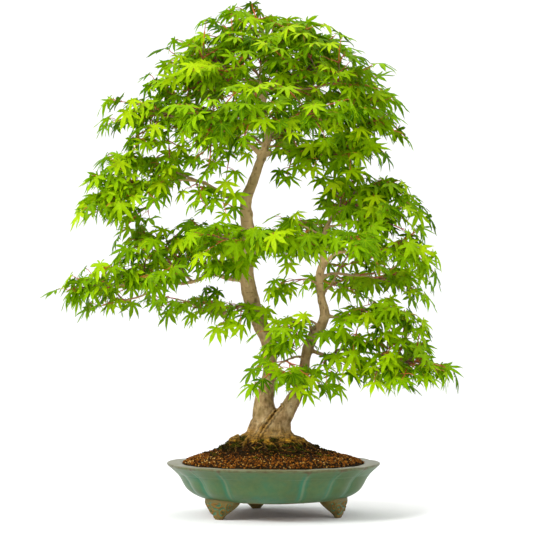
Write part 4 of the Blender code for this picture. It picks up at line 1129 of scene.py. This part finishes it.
def leaf_shape(bend, cup, teeth):
    """A leaf one unit long, lying along +X.

    Gives its points and triangles, how far each point is from its lobe's rib, and whether it is on the leaf's
    underside. Each lobe is a lance with a folded rib and toothed edges. The upper and lower faces meet all
    round the outline but share no points.
    """
    stations = np.array((0.40, 0.53, 0.68, 0.84))
    widths = np.array((0.84, 1.0, 0.70, 0.26)) * (1 + teeth * np.array((0.06, -0.06, 0.12, -0.1)))
    points, vein, faces = [(0.0, 0.0, 0.0)], [0.0], []
    sinuses = [(math.radians(LEAF_LOBES[0][0] - HEEL_TURN), HEEL_SINUS)]
    for (a, la, _), (b, lb, _) in zip(LEAF_LOBES, LEAF_LOBES[1:]):
        sinuses.append((math.radians((a + b) / 2), SINUS * (la + lb) / 2 * 1.1))
    sinuses.append((math.radians(LEAF_LOBES[-1][0] + HEEL_TURN), HEEL_SINUS))
    for angle, reach in sinuses:
        points.append((reach * math.cos(angle), reach * math.sin(angle), 0.0))
        vein.append(1.0)
    for k, (degrees, length, half) in enumerate(LEAF_LOBES):
        angle = math.radians(degrees)
        rib = np.array((math.cos(angle), math.sin(angle)))
        side = np.array((-math.sin(angle), math.cos(angle)))
        right, left = 1 + k, 2 + k
        start = len(points)
        points.append((*(rib * length * 0.34), 0.0))
        vein.append(0.0)
        for station, width in zip(stations, widths):
            spot = rib * length * station
            for offset, edge in ((-half * width, 1.0), (0.0, 0.0), (half * width, 1.0)):
                points.append((*(spot + side * offset), 0.0))
                vein.append(edge)
        points.append((*(rib * length), 0.0))
        vein.append(0.5)
        tip = len(points) - 1
        faces += [(0, right, start), (0, start, left)]
        faces += [(right, start + 1, start + 2), (right, start + 2, start), (left, start, start + 2),
                  (left, start + 2, start + 3)]
        for j in range(len(stations) - 1):
            a = start + 1 + 3 * j
            faces += [(a, a + 3, a + 4), (a, a + 4, a + 1), (a + 1, a + 4, a + 5), (a + 1, a + 5, a + 2)]
        a = start + 1 + 3 * (len(stations) - 1)
        faces += [(a, tip, a + 1), (a + 1, tip, a + 2)]
    points, vein = np.array(points), np.array(vein)
    away = np.hypot(points[:, 0], points[:, 1])
    fold = 0.035 * vein * np.minimum(away * 3, 1)
    points[:, 2] = -bend * away ** 2 - cup * np.abs(points[:, 1]) * away + fold
    points[:, 2] += 0.03 * np.sin(9 * points[:, 1] + 5 * points[:, 0])
    thick = np.outer(0.008 * (1 - vein), (0, 0, 1))
    faces = np.array(faces)
    both_faces = np.vstack((faces, faces[:, ::-1] + len(points)))
    under = np.repeat((0.0, 1.0), len(points))
    return np.vstack((points + thick, points - thick)), both_faces, np.concatenate((vein, vein)), under


class Foliage:
    """Grows twigs, leaf stalks and leaves from branches into one skin."""

    def __init__(self, settings, seed):
        self.skin = Skin("tone", "vein", "under")
        self.leaf_length = settings.leaf
        self.gap = settings.twig_gap
        self.rng = random.Random(seed)
        self.shapes = [leaf_shape(bend, cup, teeth) for bend in (0.04, 0.16, 0.32)
                       for cup, teeth in ((0.04, 1.0), (0.25, 0.7))]

    def clothe(self, rows, bare, longest):
        """Side twigs in pairs along the outer part of a shoot, and one that carries it on."""
        steps = np.linalg.norm(np.diff(rows, axis=0), axis=1)
        reached = np.concatenate(((0,), np.cumsum(steps)))
        total = reached[-1]
        spot = total * bare + self.rng.uniform(0, 6)
        while spot < total - 5:
            k = min(int(np.searchsorted(reached, spot)), len(rows) - 2)
            along = unit(rows[k + 1] - rows[k])
            across = unit(np.cross((0, 0, 1), along))
            inner = 1 - spot / total
            for hand in (-1, 1):
                turn = math.radians(self.rng.uniform(42, 68))
                heading = along * math.cos(turn) + across * hand * math.sin(turn)
                heading = heading + (0, 0, self.rng.uniform(-0.15, 0.5))
                length = longest * self.rng.uniform(0.6, 1.0) * (0.8 + 0.5 * inner)
                self.twig(rows[k], unit(heading), length)
            spot += self.gap * self.rng.uniform(0.8, 1.2)
        self.twig(rows[-1], unit(rows[-1] - rows[-2]), longest * self.rng.uniform(0.9, 1.2))

    def shoot(self, parent, tip):
        """A side shoot that leaves its branch forwards, bends towards the tip and bears twigs of its own."""
        tip = np.array(tip, float)
        away = np.linalg.norm(parent - tip, axis=1)
        k = int(away.argmin())
        k = max(1, min(k - int(away[k] * 0.1), len(parent) - 2))
        start, gap = parent[k], tip - parent[k]
        reach = np.linalg.norm(gap)
        onward = unit(parent[k + 1] - parent[k - 1])
        middle = start + onward * reach * 0.22 + gap * 0.36 + (0, 0, 0.07 * reach)
        rows = through((start, middle, tip), 3.0)
        self.skin.add(*swept(rows, np.linspace(1.5, 0.75, len(rows)), 7), slot=1, tone=0.05)
        self.clothe(rows, 0.3, 20)

    def twig(self, start, heading, length):
        """A young twig that sags outwards, with leaf pairs and a last leaf."""
        rng = self.rng
        path, step = [start - heading], 5.0
        point, direction = np.array(start, float), np.array(heading, float)
        travelled, next_pair, turn = 0.0, rng.uniform(8, 13), rng.uniform(-0.4, 0.4)
        while travelled < length:
            direction = unit(direction + np.array((rng.gauss(0, 0.05), rng.gauss(0, 0.05),
                                                   rng.gauss(0, 0.05) - 0.045)))
            point = point + direction * step
            travelled += step
            path.append(point)
            if travelled > next_pair:
                for hand in (-1, 1):
                    if rng.random() < LEAF_KEPT:
                        self.stalk(point, direction, hand, turn)
                next_pair += rng.uniform(16, 22)
                turn = rng.uniform(0.5, 1.1) - turn
        self.stalk(point, direction, 0, 0.0)
        radii = np.linspace(1.0, 0.5, len(path))
        self.skin.add(*swept(np.array(path), radii, 5), slot=1, tone=np.float32(rng.uniform(0.25, 0.8)))

    def stalk(self, start, direction, hand, turn):
        """A leaf stalk, arching out and over, and the leaf that hangs from it."""
        rng = self.rng
        across = unit(np.cross((0, 0, 1), direction))
        lift = np.cross(direction, across)
        sideways = across * math.cos(turn) + lift * math.sin(turn)
        spread = math.radians(rng.uniform(45, 75)) * hand
        heading = direction * math.cos(spread) + sideways * math.sin(spread)
        heading = unit(heading + (rng.gauss(0, 0.12), rng.gauss(0, 0.12), rng.uniform(0.0, 0.35)))
        length = rng.uniform(8, 17)
        middle = start + heading * length * 0.55 + (0, 0, 1.0)
        end = start + heading * length + (0, 0, -length * 0.12)
        path = np.array((start, (start + middle) / 2 + (0, 0, 0.4), middle, end))
        tone = np.float32(rng.uniform(0.4, 0.9))
        self.skin.add(*swept(path, (0.55, 0.46, 0.42, 0.45), 4), slot=1, tone=tone)
        from_axis = unit(np.array((end[0] - 5, end[1], 0.0)))
        outward = unit(np.array((heading[0], heading[1], 0.0)) + 0.9 * from_axis)
        high = clamp((end[2] - LEAF_FALL) / LEAF_FALL_DEPTH)
        droop = math.radians(rng.triangular(5 - 20 * high, 85 - 15 * high, 48 - 24 * high))
        along = outward * math.cos(droop) - np.array((0, 0, 1)) * math.sin(droop)
        side = unit(np.cross((0, 0, 1), outward))
        roll = rng.gauss(0, 0.35)
        normal = np.cross(along, side)
        side, normal = (side * math.cos(roll) + normal * math.sin(roll),
                        normal * math.cos(roll) - side * math.sin(roll))
        size = self.leaf_length * rng.uniform(0.7, 1.08)
        shape, faces, vein, under = rng.choice(self.shapes)
        basis = np.array((along, side, normal)) * size
        fresh = clamp(rng.gauss(0.5, 0.26) + (0.12 if hand == 0 else 0.0))
        self.skin.add(shape @ basis + end, faces, slot=0, tone=np.float32(fresh), vein=vein, under=under)


class BONSAI_OT_foliage(bpy.types.Operator):
    """Clothe every branch with twigs, leaf stalks and drooping palmate leaves."""

    bl_idname = "bonsai.foliage"
    bl_label = "Foliage"

    def execute(self, context):
        materials = [leaf_material(), twig_material()]
        for number, (name, branches) in enumerate(FOLIAGE.items()):
            grown = Foliage(context.scene.bonsai_leaves, SEED + number)
            for branch, (bare, *tips) in branches.items():
                route = TOPS[branch] if branch in TOPS else BRANCHES[branch][1:]
                rows = through([p[:3] for p in route], 3.0)
                grown.clothe(rows, bare, 30)
                for tip in tips:
                    grown.shoot(rows, tip)
            piece = grown.skin.build(name, materials)
            place(piece, "maple_leaf", *(f"shoot_{branch}" for branch in branches))
        return {"FINISHED"}


# ---- stage ----


CAMERA_AWAY, CAMERA_HEIGHT, CAMERA_ASIDE = 2683.0, 282.4, -9.7
AIM_HEIGHT, LENS, SENSOR = 350.0, 128.3, 36.0
BACKDROP_SIDES = 96
FLOOR_REACH, FLOOR_BEND, WALL_TOP = 3.0, 1.5, 5.0  # in metres


def area_light(name, spot, aim, size, power):
    """A round soft light. Its place, its aim and its size are in metres."""
    lamp = bpy.data.lights.new(name, "AREA")
    lamp.shape, lamp.size, lamp.energy = "DISK", size, power
    obj = bpy.data.objects.new(name, lamp)
    obj.location = spot
    obj.rotation_euler = (Vector(aim) - Vector(spot)).to_track_quat("-Z", "Y").to_euler()
    bpy.context.scene.collection.objects.link(obj)


class BONSAI_OT_stage(bpy.types.Operator):
    """Set the pale seamless backdrop, the soft lights and the camera."""

    bl_idname = "bonsai.stage"
    bl_label = "Stage"

    def execute(self, context):
        settings = context.scene.bonsai_stage
        scene = context.scene
        self.backdrop()
        aim = (AXIS[0], AXIS[1], 0.4)
        area_light("key_light", (-2.0, -1.7, 2.0), aim, 1.2, settings.key)
        area_light("fill_light", (2.0, -1.8, 1.0), aim, 1.8, settings.fill)
        area_light("top_light", (0.2, 0.6, 2.4), aim, 1.6, settings.fill)
        world = bpy.data.worlds.new("even_surround")
        scene.world = world
        world.use_nodes = True
        surround = world.node_tree.nodes["Background"].inputs
        surround["Color"].default_value = (1, 1, 1, 1)
        surround["Strength"].default_value = settings.sky
        scene.view_settings.view_transform = "Standard"
        camera = bpy.data.objects.new("camera", bpy.data.cameras.new("camera"))
        camera.data.lens, camera.data.sensor_width = LENS, SENSOR
        camera.data.clip_end = 100
        camera.location = AXIS + np.array((CAMERA_ASIDE, -CAMERA_AWAY, CAMERA_HEIGHT)) * MM
        tilt = math.atan2(AIM_HEIGHT - CAMERA_HEIGHT, CAMERA_AWAY)
        camera.rotation_euler = (math.pi / 2 + tilt, 0, 0)
        scene.collection.objects.link(camera)
        scene.camera = camera
        return {"FINISHED"}

    def backdrop(self):
        """A floor that curves up into a wall on every side, so that it has no horizon from any angle."""
        turns = TAU * np.arange(BACKDROP_SIDES) / BACKDROP_SIDES
        rings = [(1.0, 0.0), (FLOOR_REACH, 0.0)]
        for slope in np.linspace(0.15, math.pi / 2, 10):
            rings.append((FLOOR_REACH + FLOOR_BEND * math.sin(slope),
                          FLOOR_BEND - FLOOR_BEND * math.cos(slope)))
        rings.append((FLOOR_REACH + FLOOR_BEND, WALL_TOP))
        points = [(0, 0, 0)] + [(r * math.cos(t), r * math.sin(t), z) for r, z in rings for t in turns]
        steps = [(k, (k + 1) % BACKDROP_SIDES) for k in range(BACKDROP_SIDES)]
        faces = [(0, 1 + k, 1 + after) for k, after in steps]
        for row in range(len(rings) - 1):
            a = 1 + row * BACKDROP_SIDES
            b = a + BACKDROP_SIDES
            faces += [(a + k, b + k, b + after, a + after) for k, after in steps]
        mesh = bpy.data.meshes.new("backdrop")
        mesh.from_pydata(points, [], faces)
        mesh.shade_smooth()
        paper, _, _ = new_material("white_paper", Roughness=0.9, Base_Color=(0.92, 0.92, 0.92, 1))
        mesh.materials.append(paper)
        floor = bpy.data.objects.new("backdrop", mesh)
        bpy.context.scene.collection.objects.link(floor)


class BONSAI_PT_panel(bpy.types.Panel):
    """Buttons and settings for every piece of the bonsai."""

    bl_idname = "BONSAI_PT_panel"
    bl_label = "Bonsai Maple"
    bl_space_type = "VIEW_3D"
    bl_region_type = "UI"
    bl_category = "Bonsai"

    def draw(self, context):
        for operator in OPERATORS:
            self.layout.operator(operator.bl_idname)
        for name in SETTINGS:
            group = getattr(context.scene, name)
            for key in group.__annotations__:
                self.layout.prop(group, key)


SETTINGS = {
    "bonsai_pot": BonsaiPotSettings, "bonsai_soil": BonsaiSoilSettings, "bonsai_wood": BonsaiWoodSettings,
    "bonsai_leaves": BonsaiLeafSettings, "bonsai_stage": BonsaiStageSettings,
}
OPERATORS = (
    BONSAI_OT_stage, BONSAI_OT_pot, BONSAI_OT_soil, BONSAI_OT_drainage, BONSAI_OT_moss, BONSAI_OT_wood,
    BONSAI_OT_foliage,
)


def register():
    for cls in (*SETTINGS.values(), *OPERATORS, BONSAI_PT_panel):
        bpy.utils.register_class(cls)
    for name, cls in SETTINGS.items():
        setattr(bpy.types.Scene, name, PointerProperty(type=cls))


def unregister():
    for name in SETTINGS:
        delattr(bpy.types.Scene, name)
    for cls in reversed((*SETTINGS.values(), *OPERATORS, BONSAI_PT_panel)):
        bpy.utils.unregister_class(cls)


def main():
    register()
    bpy.ops.bonsai.stage()
    bpy.ops.bonsai.pot()
    bpy.ops.bonsai.soil()
    bpy.ops.bonsai.drainage()
    bpy.ops.bonsai.moss()
    bpy.ops.bonsai.wood()
    bpy.ops.bonsai.foliage()


if __name__ == "__main__":
    main()
